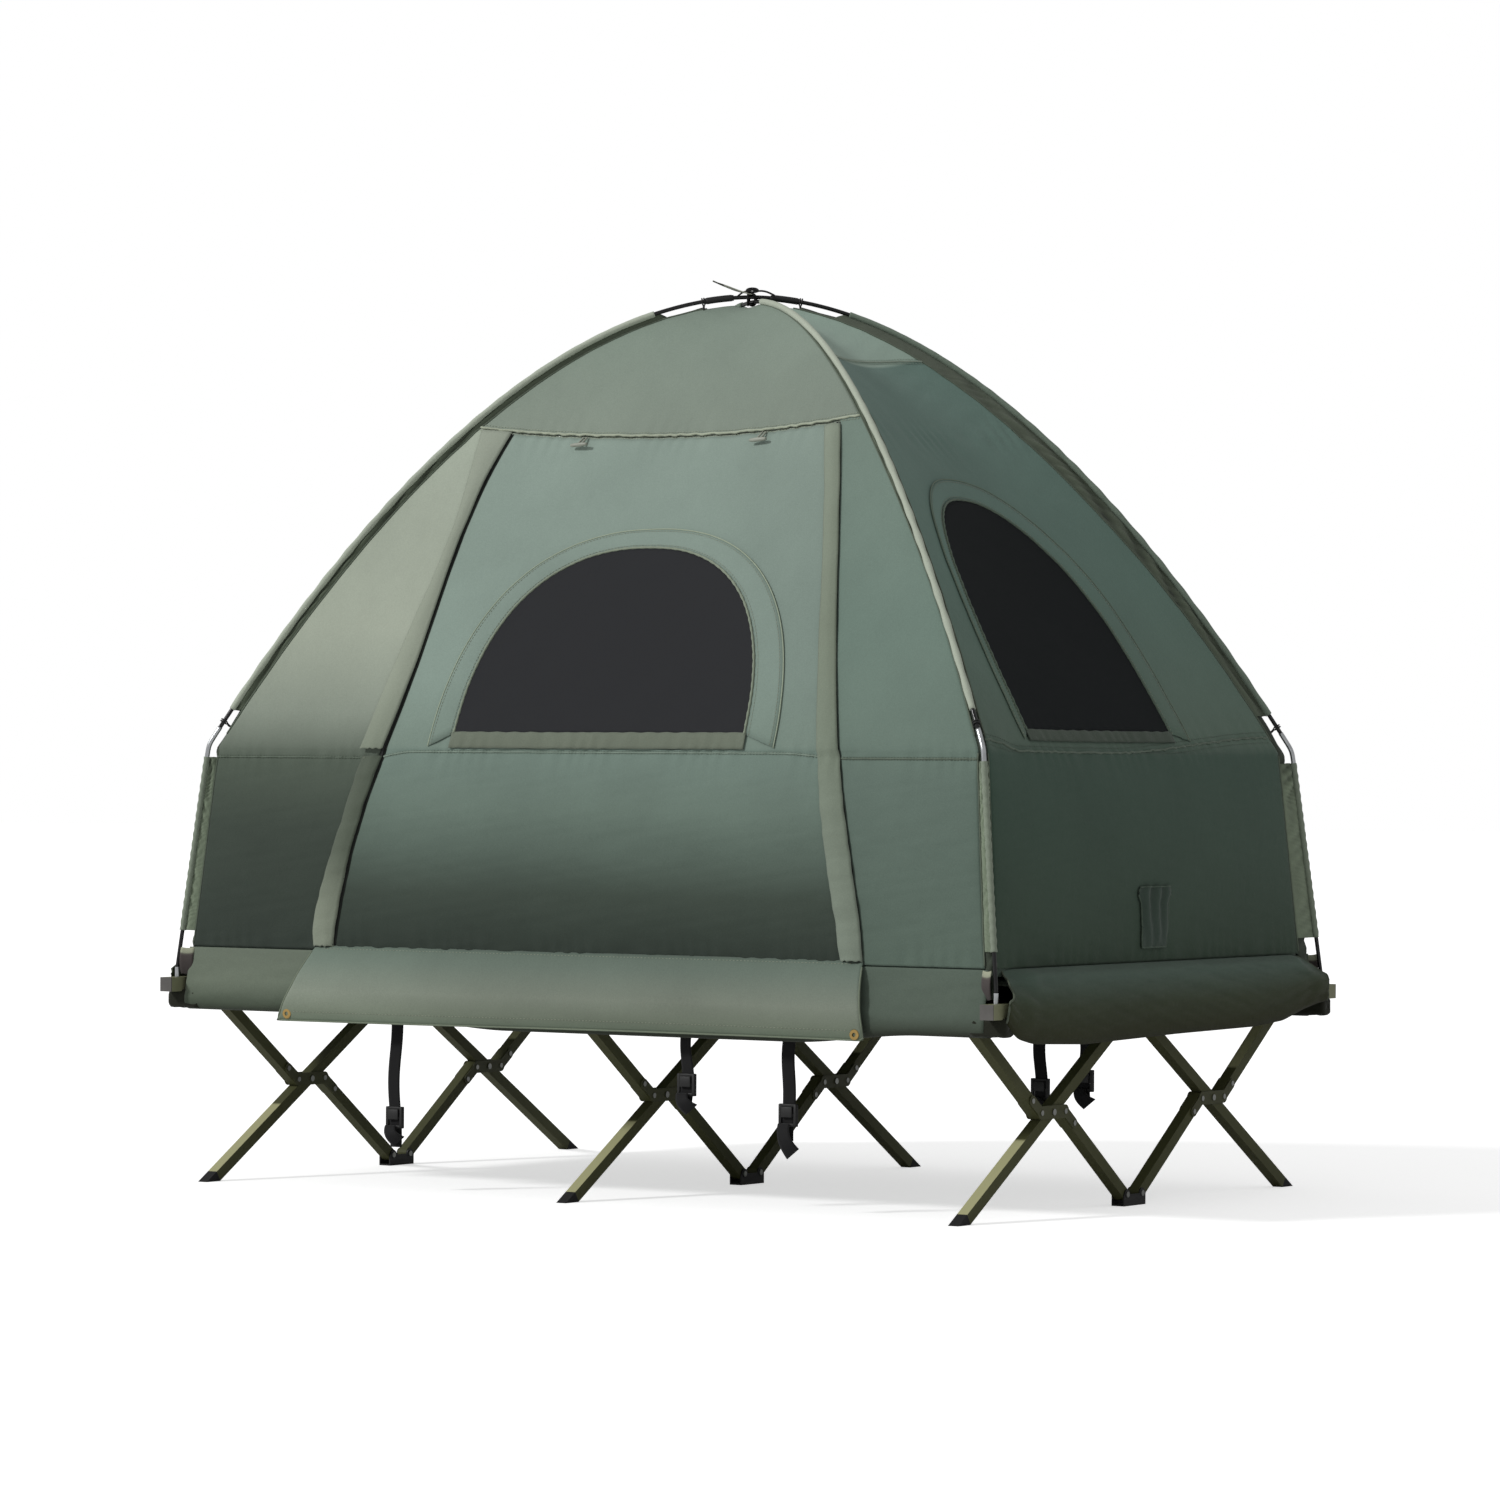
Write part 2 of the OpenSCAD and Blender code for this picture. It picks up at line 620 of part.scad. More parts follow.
// Clips that hold the cloth to the bare stretches of the poles, beside the elbows and the crown
module pole_clips() {
    elbow_clip_s = 0.965;
    crown_clip_s = 0.09;
    clip_r = 2;
    color([0.05, 0.05, 0.05]) {
        each_corner() translate([elbow_r * elbow_clip_s - 16, 0, arch_z(elbow_clip_s) - 8])
            rotate([0, 84, 0]) cylinder(h = 16, r = clip_r, center = true, $fn = 24);
        each_corner([0, 2]) translate([elbow_r * crown_clip_s, 0, arch_z(crown_clip_s) - 13])
            cylinder(h = 8, r = clip_r, $fn = 24);
    }
}

// Cloth wings that hang the walls from the poles: one strip on each side of each pole
module wing_strip(side, sign, t_hi, t_lo, rows) {
    long = side % 2 == 0;
    gap = 2;
    function edge(t, depth) =
        let (u = wall_half(long, t) + gap, n = wall_in(long, t), k = depth + under_pole(t))
        [u, out_k(long) * line_r(t) + n[0] * k, line_z(t) + n[1] * k];
    function pole(t, depth) =
        let (n = wall_in(long, t), k = depth + under_pole(t))
        [line_r(t) * along_k(long) - 5,
         out_k(long) * line_r(t) + n[0] * k, line_z(t) + n[1] * k];
    function row(t, depth) = [for (w = [0, 0.5, 1])
        let (p = edge(t, depth) * (1 - w) + pole(t, depth) * w)
        place(side, [sign * p[0], p[1], p[2]])];
    function rows_at(depth) = [for (j = [0:rows]) row(t_hi + (t_lo - t_hi) * j / rows, depth)];
    if (sign > 0) sheet(rows_at(0), rows_at(1.2));
    else sheet(rows_at(1.2), rows_at(0));
}
module pole_wings() {
    color([0.16, 0.20, 0.16]) for (side = [0:3], sign = [-1, 1]) {
        wing_strip(side, sign, 0.2, 0.95, 12);
        wing_strip(side, sign, 1.05, 1.93, 4);
    }
}

// ---------- walls ----------
wall_gap = 3;
top_z = arch_z(0.10);
module end_wall(side) {
    half = function (z) wall_half(false, t_at(z));
    wall_piece(side, top_z, hem_z, function (z) -half(z), half, 20, 10);
}
module right_wall() color([0.20, 0.26, 0.22]) end_wall(1);
module left_wall() color([0.20, 0.26, 0.22]) end_wall(3);

// A door wall is a cap over the door and a panel on each side of it
module door_wall(side) {
    half = function (z) wall_half(true, t_at(z));
    cap_low = door_top_z + wall_gap;
    jamb = function (z) door_half(z) + wall_gap;
    wall_piece(side, top_z, cap_low, function (z) -half(z), half, 8, 12);
    wall_piece(side, cap_low + 0.5, hem_z, function (z) -half(z), function (z) -jamb(z), 14, 3);
    wall_piece(side, cap_low + 0.5, hem_z, jamb, half, 14, 3);
}
module front_wall() color([0.48, 0.54, 0.48]) door_wall(0);
module back_wall() color([0.48, 0.54, 0.48]) door_wall(2);

// ---------- doors ----------
// A door panel ends in a weather flap that flares out over the side rail
flap_out = half_w + rail / 2 + 9;
module door(side) {
    half = function (z) door_half(z);
    wall_piece(side, door_top_z, hem_z, function (z) -half(z), half, 14, 10);
    rows = 5;
    function flap(thick) = [for (j = [0:rows])
        let (f = j / rows, out0 = wall_at(true, 0, t_at(hem_z))[1],
             half = door_hem_half + (flap_half - door_hem_half) * f)
        [for (i = [0:10]) place(side, [half * (i / 5 - 1),
            max(out0, flap_out) + 8 * f - (1 - f) * (flap_out - out0) * (j == 0 ? 1 : 0) - thick,
            hem_z + 0.5 + (flap_z - hem_z - 0.5) * f])]];
    sheet(flap(0), flap(cloth));
}
grommet_r = 4;
grommet_neck = 1.8;
module door_grommet_places(side) {
    turn = side == 0 ? 1 : -1;
    for (u = [-1, 1]) translate([u * (flap_half - 22), -turn * (flap_out + 7), flap_z + 14])
        rotate([90 * turn, 0, 0]) children();
}
module door_with_holes(side) {
    difference() {
        door(side);
        door_grommet_places(side)
            cylinder(h = 30, r = grommet_r + grommet_neck + 0.1, center = true, $fn = 48);
    }
}
module front_door() color([0.50, 0.58, 0.53]) door_with_holes(0);
module back_door() color([0.50, 0.58, 0.53]) door_with_holes(2);

// A grommet is a flanged brass eyelet set through the flap
module grommets(side) {
    neck = grommet_r + grommet_neck;
    flange = grommet_r + 6;
    color([0.70, 0.58, 0.36]) door_grommet_places(side) rotate_extrude($fn = 64)
        polygon([[grommet_r, -5], [neck, -5], [neck, 2.2], [flange, 2.2],
                 [flange - 1, 3.4], [grommet_r, 3.4]]);
}
module front_door_grommets() grommets(0);
module back_door_grommets() grommets(2);

// Short bars on loops under the top seam that hold the rolled-up door
module toggles(side) {
    color([0.42, 0.44, 0.38]) for (u = [-200, 220])
        translate(place(side, wall_at(true, u, t_at(door_top_z - 40), -8))) {
            rotate([0, 90, 0]) cylinder(h = 34, r = 4, center = true, $fn = 32);
            box([-3, -1, 2], [3, 1, 22]);
        }
}
module front_door_toggles() toggles(0);
module back_door_toggles() toggles(2);

// ---------- windows ----------
// A window is an arched mesh sheet lying proud of its wall, centred at u = middle
arch_round = 2.3;
module window(side, low_z, high_z, middle, half) {
    rise = function (z) min(1, max(0, (z - low_z) / (high_z - low_z)));
    reach = function (z) half * pow(1 - pow(rise(z), arch_round), 1 / arch_round);
    wall_piece(side, low_z + 0.985 * (high_z - low_z), low_z,
        function (z) middle - reach(z), function (z) middle + reach(z), 10, 8, 3.5, 1.5);
}
module end_windows() {
    color([0.06, 0.07, 0.07]) for (side = [1, 3]) window(side, 900, 1355, -112, 267);
}
module door_window(side) {
    color([0.10, 0.10, 0.11]) window(side, 888, 1256, 26, 336);
}
module front_door_window() door_window(0);
module back_door_window() door_window(2);

centre_rail();
front_rail();
back_rail();
rail_caps_front();
rail_caps_centre();
rail_caps_back();
locating_pegs();
end_bars();
end_bar_plugs();
pole_pins();
centre_foot_brackets();
centre_foot_pins();
front_half_legs();
front_cross_plates();
front_plate_rivets();
front_cross_pins();
front_straight_legs();
front_foot_caps();
front_hanger_brackets();
front_hanger_pins();
back_half_legs();
back_cross_plates();
back_plate_rivets();
back_cross_pins();
back_straight_legs();
back_foot_caps();
back_hanger_brackets();
back_hanger_pins();
centre_hanger_brackets();
centre_hanger_pins();
bed_sheet();
front_rail_sleeve();
back_rail_sleeve();
end_bolsters();
front_bed_straps();
front_strap_buckles();
centre_bed_straps();
centre_strap_buckles();
pole_ferrules();
lower_poles();
pole_elbows();
upper_arch();
lower_arch();
arch_crown_sleeve();
crown_ties();
pole_clips();
pole_wings();
front_wall();
back_wall();
right_wall();
left_wall();
end_windows();
front_door();
front_door_window();
front_door_grommets();
front_door_toggles();
back_door();
back_door_window();
back_door_grommets();
back_door_toggles();
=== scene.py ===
"""Looks of the two-person tent cot: cloth, poles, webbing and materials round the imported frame.

Metres, Z up, X along the cot. Each cloth wall is one surface function. Panels, windows, seams,
flaps and stitches are all drawn on it, so they share its sag, puff and wrinkles. On a wall, u runs
sideways, t goes 0 at the crown, 1 at the elbows and 2 at the hem, and v is the length of cloth from
the crown. In a sheet, f, q or k runs 0 to 1 down its rows and s across its columns.
"""
import json
import math

import bpy
import numpy as np
from mathutils import Matrix, Vector


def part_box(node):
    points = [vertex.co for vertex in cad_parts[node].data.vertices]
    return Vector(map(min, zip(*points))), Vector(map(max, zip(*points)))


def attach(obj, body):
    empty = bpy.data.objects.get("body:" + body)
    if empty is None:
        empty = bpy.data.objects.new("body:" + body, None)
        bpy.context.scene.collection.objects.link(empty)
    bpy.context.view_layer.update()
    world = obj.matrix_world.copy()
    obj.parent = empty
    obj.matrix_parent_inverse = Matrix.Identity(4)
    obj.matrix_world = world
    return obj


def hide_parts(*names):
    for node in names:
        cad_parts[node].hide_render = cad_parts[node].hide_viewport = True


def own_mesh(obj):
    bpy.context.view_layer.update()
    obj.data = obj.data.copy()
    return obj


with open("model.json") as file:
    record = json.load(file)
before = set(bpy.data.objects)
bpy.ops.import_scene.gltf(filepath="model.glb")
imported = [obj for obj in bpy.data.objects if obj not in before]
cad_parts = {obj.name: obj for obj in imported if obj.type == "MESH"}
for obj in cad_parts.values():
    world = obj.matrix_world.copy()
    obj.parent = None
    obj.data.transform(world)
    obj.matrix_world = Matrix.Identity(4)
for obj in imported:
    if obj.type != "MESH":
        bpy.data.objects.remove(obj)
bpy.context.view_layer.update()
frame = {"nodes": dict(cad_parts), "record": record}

# ---------------------------------------------------------------- frame places
POLE_R = 0.004
ARCH_POWER = 1.9
ARCH_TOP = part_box("upper_arch")[1].z
APEX_Z = ARCH_TOP - POLE_R
ARCH_DROP = ARCH_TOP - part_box("lower_arch")[1].z
RAIL_LOW, RAIL_TOP = (corner.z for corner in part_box("centre_rail"))
RAIL_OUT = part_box("back_rail")[1].y
BAR_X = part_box("end_bars")[1].x - 0.014  # the end bar's centre line
HEM_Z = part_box("right_wall")[0].z
ELBOW = Vector((0.899, 0.581, 0.861))  # where two poles meet, as in the CAD design
LOWER_LEAN = math.radians(7.72)
ELBOW_R = math.hypot(ELBOW.x, ELBOW.y)
DX, DY = ELBOW.x / ELBOW_R, ELBOW.y / ELBOW_R
CROWN_RISE = APEX_Z - ELBOW.z
BEND_END = 0.0208  # share of an arch that lies inside its elbow
UPPER_END = 0.957  # the t where the cloth round an arch ends, above its elbow
LOWER_POLE = (1.06, 1.925)  # the stretch of a lower pole with cloth round it, in t
SAG = 0.034  # how deep a wall hangs in between its poles
UP = np.array([0.0, 0.0, 1.0])
DOOR_TOP_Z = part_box("front_door")[1].z
FLAP_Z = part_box("front_door")[0].z

# Width of the strip between a wall's edge and its pole, as t places and widths, for the two
# sides of a door wall (True) and of an end wall (False)
MARGINS = {
    (True, -1): ([0.3, 1.0, 2.0], [0.020, 0.019, 0.027]),
    (True, 1): ([0.4, 0.6, 0.83, 0.95, 1.05, 2.0], [0.026, 0.024, 0.011, 0.013, 0.018, 0.027]),
    (False, -1): ([0.5, 1.0, 2.0], [0.030, 0.030, 0.016]),
    (False, 1): ([0.3, 0.6, 0.72, 0.85, 0.95, 1.2, 2.0],
                 [0.075, 0.066, 0.055, 0.032, 0.042, 0.048, 0.066]),
}


def line_z(t):
    """Height of the pole line: t is 0 at the crown, 1 at the elbow and 2 at the walls' hem."""
    t = np.asarray(t, float)
    arch = ELBOW.z + CROWN_RISE * (1 - np.clip(t, 0, 1) ** ARCH_POWER)
    return np.where(t <= 1, arch, ELBOW.z - (t - 1) * (ELBOW.z - HEM_Z))


def line_r(t):
    """Distance of the pole line from the middle, along a diagonal."""
    t = np.asarray(t, float)
    return np.where(t <= 1, ELBOW_R * t, ELBOW_R + math.tan(LOWER_LEAN) * (ELBOW.z - line_z(t)))


def t_at(z):
    """The t of a height on the pole line."""
    z = np.asarray(z, float)
    arch = np.clip(1 - (z - ELBOW.z) / CROWN_RISE, 0, None) ** (1 / ARCH_POWER)
    return np.where(z >= ELBOW.z, arch, 1 + (ELBOW.z - z) / (ELBOW.z - HEM_Z))


def smooth(a, b, x):
    """0 before a, 1 after b and an even slope between; a may be above b."""
    k = np.clip((x - a) / (b - a), 0, 1)
    return k * k * (3 - 2 * k)


def ripple(x, y, seed, count=6, low=2.0, high=9.0):
    """Soft seeded noise made of a few sine waves, about -1 to 1."""
    rng = np.random.default_rng(seed)
    total = 0
    for _ in range(count):
        a, b = rng.uniform(low, high, 2) * rng.choice([-1, 1], 2)
        total = total + np.sin(a * x + b * y + rng.uniform(0, 6.28))
    return total / count


def stacked(*parts):
    """Arrays that broadcast together, joined as the coordinates of points."""
    return np.stack(np.broadcast_arrays(*parts), -1)


def unit(v):
    return v / np.linalg.norm(v)


def steps(rows, cols, first=0.0):
    """Shares 0 to 1 down the rows of a sheet and first to 1 across its columns."""
    return np.linspace(0, 1, rows)[:, None], np.linspace(first, 1, cols)[None, :]


def eased(values, passes):
    """values with each row averaged with its neighbours; the first and last rows stay."""
    for _ in range(passes):
        values[1:-1] = (values[:-2] + 2 * values[1:-1] + values[2:]) / 4
    return values


# ---------------------------------------------------------------- the wall surface
class Wall:
    """One side of the tent."""

    def __init__(self, side):
        self.side = side
        self.long = side % 2 == 0
        self.k_out = DY if self.long else DX
        self.k_along = DX if self.long else DY
        t = np.linspace(0, 2, 1200)
        out, z = self.k_out * line_r(t), line_z(t)
        step = np.hypot(np.diff(out), np.diff(z))
        self.t_table = t
        self.v_table = np.concatenate([[0], np.cumsum(step)])

    def v_of(self, z):
        return self.v_at(t_at(z))

    def t_of(self, v):
        return np.interp(v, self.v_table, self.t_table)

    def edge(self, t, sign):
        """The wall's edge beside a pole, on the side of sign."""
        t = np.asarray(t, float)
        width = sum(np.interp(t + k, *MARGINS[self.long, sign]) for k in (-0.09, -0.03, 0.03, 0.09)) / 4
        return sign * (line_r(t) * self.k_along - width * (1 - np.exp(-4 * t)))

    def left(self, t):
        return self.edge(t, -1)

    def right(self, t):
        return self.edge(t, 1)

    def waist_t(self, u):
        """The seam between the upper and the lower wall."""
        u = np.asarray(u, float)
        if self.long:
            return t_at(0.851 - 0.012 * smooth(0.40, 0.50, -u) - 0.009 * smooth(0.45, 0.60, u))
        return t_at(ELBOW.z + 0.030 * smooth(-0.1, 0.5, u) + 0.020 * smooth(0.42, 0.54, -u))

    def inward(self, t):
        """The direction into the tent, square to the pole line: its outward and upward parts."""
        e = 0.01
        d_out = self.k_out * (line_r(t + e) - line_r(t - e))
        d_z = line_z(t + e) - line_z(t - e)
        size = np.hypot(d_out, d_z)
        return d_z / size, -d_out / size

    def depth_at(self, u, t, w):
        """How far the outer face lies inside the pole line."""
        sag = SAG * np.where(
            t <= 1, np.sin(math.pi * np.clip(t, 0, 1) ** 0.8) * 0.8 + 0.25 * t, 0.25 * (2 - t))
        waist = self.waist_t(u)
        puff = np.sin(math.pi * np.clip((t - waist) / (2 - waist), 0, 1) ** 0.85)
        under = 0.009 + 0.007 * np.clip(1 - t, 0, 1)
        across = np.clip(1 - w * w, 0, 1)
        folds = 0.0028 * ripple(u * 1.3, t * 3.0, 11 + self.side) * across
        fine = 0.0009 * ripple(u * 6, t * 14, 31 + self.side, 8)
        seam_pull = self.puckers(u, t)
        return under + sag * across - 0.026 * puff * across ** 0.6 + folds + fine + seam_pull

    def puckers(self, u, t):
        """Small gathers where the cloth is sewn: the waist seam, the top seam and the hem."""
        total = 0
        for z, size in ((line_z(self.waist_t(u)), 0.0018), (DOOR_TOP_Z, 0.0014), (HEM_Z + 0.01, 0.0012)):
            near = np.exp(-np.abs(line_z(t) - z) / 0.022)
            total = total + size * near * np.sin(u * 150 + 4 * np.sin(u * 23 + self.side))
        return total

    def at(self, u, t, proud=0.0):
        """Points on the outer face, lifted outward by proud."""
        u, t = np.broadcast_arrays(np.asarray(u, float), np.asarray(t, float))
        lo, hi = self.edge(t, -1), self.edge(t, 1)
        w = np.clip((2 * u - lo - hi) / np.maximum(hi - lo, 0.001), -1.15, 1.15)
        n_out, n_z = self.inward(t)
        k = self.depth_at(u, t, w) - proud
        out = self.k_out * line_r(t) + n_out * k
        z = line_z(t) + n_z * k
        return self.place(u, out, z)

    def place(self, u, out, z):
        """Points from their place along the wall, their distance from the tent's middle and height."""
        u, out = np.asarray(u), np.asarray(out)
        return stacked(*((u, -out, z), (out, u, z), (-u, out, z), (-out, -u, z))[self.side])

    def v_at(self, t):
        return np.interp(t, self.t_table, self.v_table)


WALLS = [Wall(side) for side in range(4)]
FRONT, RIGHT, BACK, LEFT = range(4)
HEM_OUT = abs(WALLS[FRONT].at(np.array([0.0]), np.array([2.0]))[0][1])


# ---------------------------------------------------------------- colour
def linear(rgb):
    """Linear colour from sRGB values out of 255."""
    c = np.asarray(rgb, float) / 255
    return np.where(c <= 0.04045, c / 12.92, ((c + 0.055) / 1.055) ** 2.4)


def tint_along(z, stops):
    """Colour at height z from (height, rgb) stops, as linear RGB."""
    stops = sorted(stops)
    heights = [s[0] for s in stops]
    return np.stack([np.interp(z, heights, [linear(s[1])[k] for s in stops]) for k in range(3)], -1)


# ---------------------------------------------------------------- meshes
def add_mesh(name, verts, faces, material, uvs=None, tint=None):
    """A mesh object. tint is one (r, g, b) out of 255 or a linear colour for each vertex."""
    mesh = bpy.data.meshes.new(name)
    mesh.from_pydata([tuple(v) for v in verts], [], [tuple(f) for f in faces])
    mesh.validate()
    if uvs is not None:
        layer = mesh.uv_layers.new(name="cloth")
        index = np.zeros(len(mesh.loops), np.int32)
        mesh.loops.foreach_get("vertex_index", index)
        layer.data.foreach_set("uv", np.asarray(uvs, np.float32)[index].ravel())
    if tint is not None:
        if isinstance(tint, tuple):
            tint = np.broadcast_to(linear(tint), (len(verts), 3))
        colour = mesh.color_attributes.new("tint", "FLOAT_COLOR", "POINT")
        rgba = np.concatenate([np.asarray(tint, float), np.ones((len(verts), 1))], 1)
        colour.data.foreach_set("color", rgba.astype(np.float32).ravel())
    mesh.polygons.foreach_set("use_smooth", [True] * len(mesh.polygons))
    mesh.materials.append(material)
    mesh.update()
    obj = bpy.data.objects.new(name, mesh)
    bpy.context.scene.collection.objects.link(obj)
    return obj


def grid(name, points, material, uv, tint, thick=0.0012):
    """A cloth sheet over an array of points (rows, columns, 3), given real thickness."""
    rows, cols = points.shape[:2]
    index = np.arange(rows * cols).reshape(rows, cols)
    faces = np.stack([index[:-1, :-1], index[1:, :-1], index[1:, 1:], index[:-1, 1:]], -1)
    if not isinstance(tint, tuple):
        tint = tint.reshape(-1, 3)
    obj = add_mesh(name, points.reshape(-1, 3), faces.reshape(-1, 4), material, uv.reshape(-1, 2), tint)
    solid = obj.modifiers.new("thickness", "SOLIDIFY")
    solid.thickness = thick
    solid.offset = 0
    return obj


def tube_mesh(points, radius, sides=10, closed=False, up=None):
    """Vertices and faces of a tube along points; radius may be one for each point."""
    p = np.asarray(points, float)
    d = np.gradient(p, axis=0)
    if closed:
        d = np.roll(p, -1, 0) - np.roll(p, 1, 0)
    d /= np.linalg.norm(d, axis=1, keepdims=True)
    ref = np.array(up if up is not None else (0.01, 0.02, 1.0), float)
    side = np.cross(d, ref)
    side /= np.linalg.norm(side, axis=1, keepdims=True)
    top = np.cross(side, d)
    r = np.broadcast_to(np.asarray(radius, float), (len(p),))
    a = np.linspace(0, 2 * math.pi, sides, endpoint=False)
    ring = np.cos(a)[None, :, None] * side[:, None] + np.sin(a)[None, :, None] * top[:, None]
    verts = (p[:, None] + ring * r[:, None, None]).reshape(-1, 3)
    index = np.arange(len(verts)).reshape(-1, sides)
    around = np.roll(index, -1, 1)
    quads = stacked(index, around, np.roll(around, -1, 0), np.roll(index, -1, 0))
    if closed:
        return verts, quads.reshape(-1, 4).tolist()
    return verts, quads[:-1].reshape(-1, 4).tolist() + [index[0, ::-1].tolist(), index[-1].tolist()]


def tube(name, points, radius, material, tint=None, **shape):
    return add_mesh(name, *tube_mesh(points, radius, **shape), material, None, tint)


def merged(name, parts, material, tint=None):
    """One object from several (vertices, faces) lumps."""
    verts, faces, base = [], [], 0
    for v, f in parts:
        verts.append(np.asarray(v, float))
        faces += [tuple(i + base for i in face) for face in f]
        base += len(v)
    return add_mesh(name, np.concatenate(verts), faces, material, None, tint)


def box_mesh(centre, half):
    """A block of the given half sizes, as vertices and faces."""
    signs = np.array([(x, y, z) for x in (-1, 1) for y in (-1, 1) for z in (-1, 1)], float)
    faces = [(0, 1, 3, 2), (4, 6, 7, 5), (0, 4, 5, 1), (2, 3, 7, 6), (0, 2, 6, 4), (1, 5, 7, 3)]
    return signs * np.asarray(half) + np.asarray(centre), faces


def resampled(points, pitch):
    """Points at even spacing along a polyline."""
    p = np.asarray(points, float)
    at = np.concatenate([[0], np.cumsum(np.linalg.norm(np.diff(p, axis=0), axis=1))])
    even = np.linspace(0, at[-1], max(2, int(at[-1] / pitch) + 1))
    return np.stack([np.interp(even, at, p[:, k]) for k in range(p.shape[1])], -1)


def stitch_parts(path, pitch, length, radius=0.0006):
    """Thread stitches along a path, as small lumps."""
    p = resampled(path, pitch)
    parts = []
    for a, b in zip(p[:-1], p[1:]):
        d = (b - a) / np.linalg.norm(b - a)
        mid = (a + b) / 2
        parts.append(tube_mesh([mid - d * length / 2, mid, mid + d * length / 2],
                               [radius * 0.5, radius, radius * 0.5], sides=4))
    return parts


# ---------------------------------------------------------------- materials
def new_material(name, **inputs):
    """A material, its node tree and its shader, with the shader's inputs set by name."""
    mat = bpy.data.materials.new(name)
    mat.use_nodes = True
    tree = mat.node_tree
    shader = tree.nodes["Principled BSDF"]
    for key, value in inputs.items():
        shader.inputs[key.replace("_", " ")].default_value = value
    return mat, tree, shader


def feed(tree, socket, value):
    """Link a socket to another, or set it to a value."""
    if hasattr(value, "node"):
        tree.links.new(value, socket)
    else:
        socket.default_value = value


def node(tree, kind, inputs=None, **settings):
    """A new node with its inputs fed and its settings made."""
    n = tree.nodes.new(kind)
    for key, value in settings.items():
        setattr(n, key, value)
    for key, value in (inputs or {}).items():
        feed(tree, n.inputs[key], value)
    return n


def maths(tree, operation, a, b=0.0):
    return node(tree, "ShaderNodeMath", {0: a, 1: b}, operation=operation).outputs[0]


def mixed(tree, factor, a, b, blend="MIX"):
    sockets = {0: factor, 6: a, 7: b}
    return node(tree, "ShaderNodeMix", sockets, data_type="RGBA", blend_type=blend).outputs[2]


def noise(tree, where, scale, detail, **more):
    sockets = {"Vector": where, "Scale": scale, "Detail": detail, **more}
    return node(tree, "ShaderNodeTexNoise", sockets).outputs[0]


def ranged(tree, value, to_low, to_high, low=0.0, high=1.0):
    """value, taken from low to high, spread over to_low to to_high."""
    sockets = {0: value, 1: low, 2: high, 3: to_low, 4: to_high}
    return node(tree, "ShaderNodeMapRange", sockets).outputs[0]


def bumped(tree, height, strength, distance, **more):
    sockets = {"Height": height, "Strength": strength, "Distance": distance, **more}
    return node(tree, "ShaderNodeBump", sockets).outputs[0]


def tint_of(tree):
    return node(tree, "ShaderNodeAttribute", attribute_name="tint").outputs["Color"]


def place_of(tree):
    return node(tree, "ShaderNodeTexCoord").outputs["Object"]


def opaque(rgb, factor=1.0, lift=0.0):
    """An RGBA colour, darkened or paled."""
    return (*(linear(rgb) * factor + lift), 1)


def finished(mat, tree, shader, base, normal, rough=None):
    """The material with its colour, surface and roughness linked up."""
    feed(tree, shader.inputs["Base Color"], base)
    feed(tree, shader.inputs["Normal"], normal)
    if rough is not None:
        feed(tree, shader.inputs["Roughness"], rough)
    return mat


def weave(tree, pitch):
    """Height of a plain weave from the cloth's own coordinates, 0 to 1."""
    uv = node(tree, "ShaderNodeUVMap", uv_map="cloth").outputs[0]
    split = node(tree, "ShaderNodeSeparateXYZ", {0: uv})
    waves = [maths(tree, "SINE", maths(tree, "MULTIPLY", split.outputs[k], 2 * math.pi / pitch))
             for k in (0, 1)]
    crossed = maths(tree, "MULTIPLY", *waves)
    return maths(tree, "ADD", maths(tree, "MULTIPLY", crossed, 0.5), 0.5)


def cloth_material(name, pitch=0.0016, sheen=0.08, rough=0.75, crumple=0.35):
    """Coated oxford cloth: tinted per point, with weave, slubs, soft crumples and faded patches."""
    mat, tree, shader = new_material(name, Roughness=rough, Sheen_Weight=sheen, Sheen_Roughness=0.5,
                                     Specular_IOR_Level=0.2)
    here = place_of(tree)
    fade = ranged(tree, noise(tree, here, 3.5, 5.0, Roughness=0.6), 0.93, 1.07, 0.3, 0.7)
    speckle = ranged(tree, noise(tree, here, 420.0, 2.0), 0.93, 1.07, 0.25, 0.75)
    threads = weave(tree, pitch)
    worn = maths(tree, "MULTIPLY", fade, speckle)
    light = maths(tree, "MULTIPLY", worn, ranged(tree, threads, 0.94, 1.05))
    grey = node(tree, "ShaderNodeCombineColor", {0: light, 1: light, 2: light}).outputs[0]
    creases = noise(tree, here, 26.0, 6.0, Roughness=0.62, Distortion=0.6)
    fine = bumped(tree, threads, 0.25, 0.0004)
    return finished(mat, tree, shader, mixed(tree, 1.0, tint_of(tree), grey, "MULTIPLY"),
                    bumped(tree, creases, crumple, 0.004, Normal=fine))


def mesh_material():
    """Black insect mesh, opaque: fine square cells with painted shade between the threads for the dark
    inside of the tent.
    """
    mat, tree, shader = new_material("insect_mesh", Roughness=0.85, Specular_IOR_Level=0.15)
    threads = weave(tree, 0.0024)
    tint = tint_of(tree)
    shaded_inside = mixed(tree, 1.0, tint, (0.55, 0.55, 0.58, 1), "MULTIPLY")
    return finished(mat, tree, shader, mixed(tree, threads, shaded_inside, tint), bumped(tree, threads, 0.4, 0.0006))


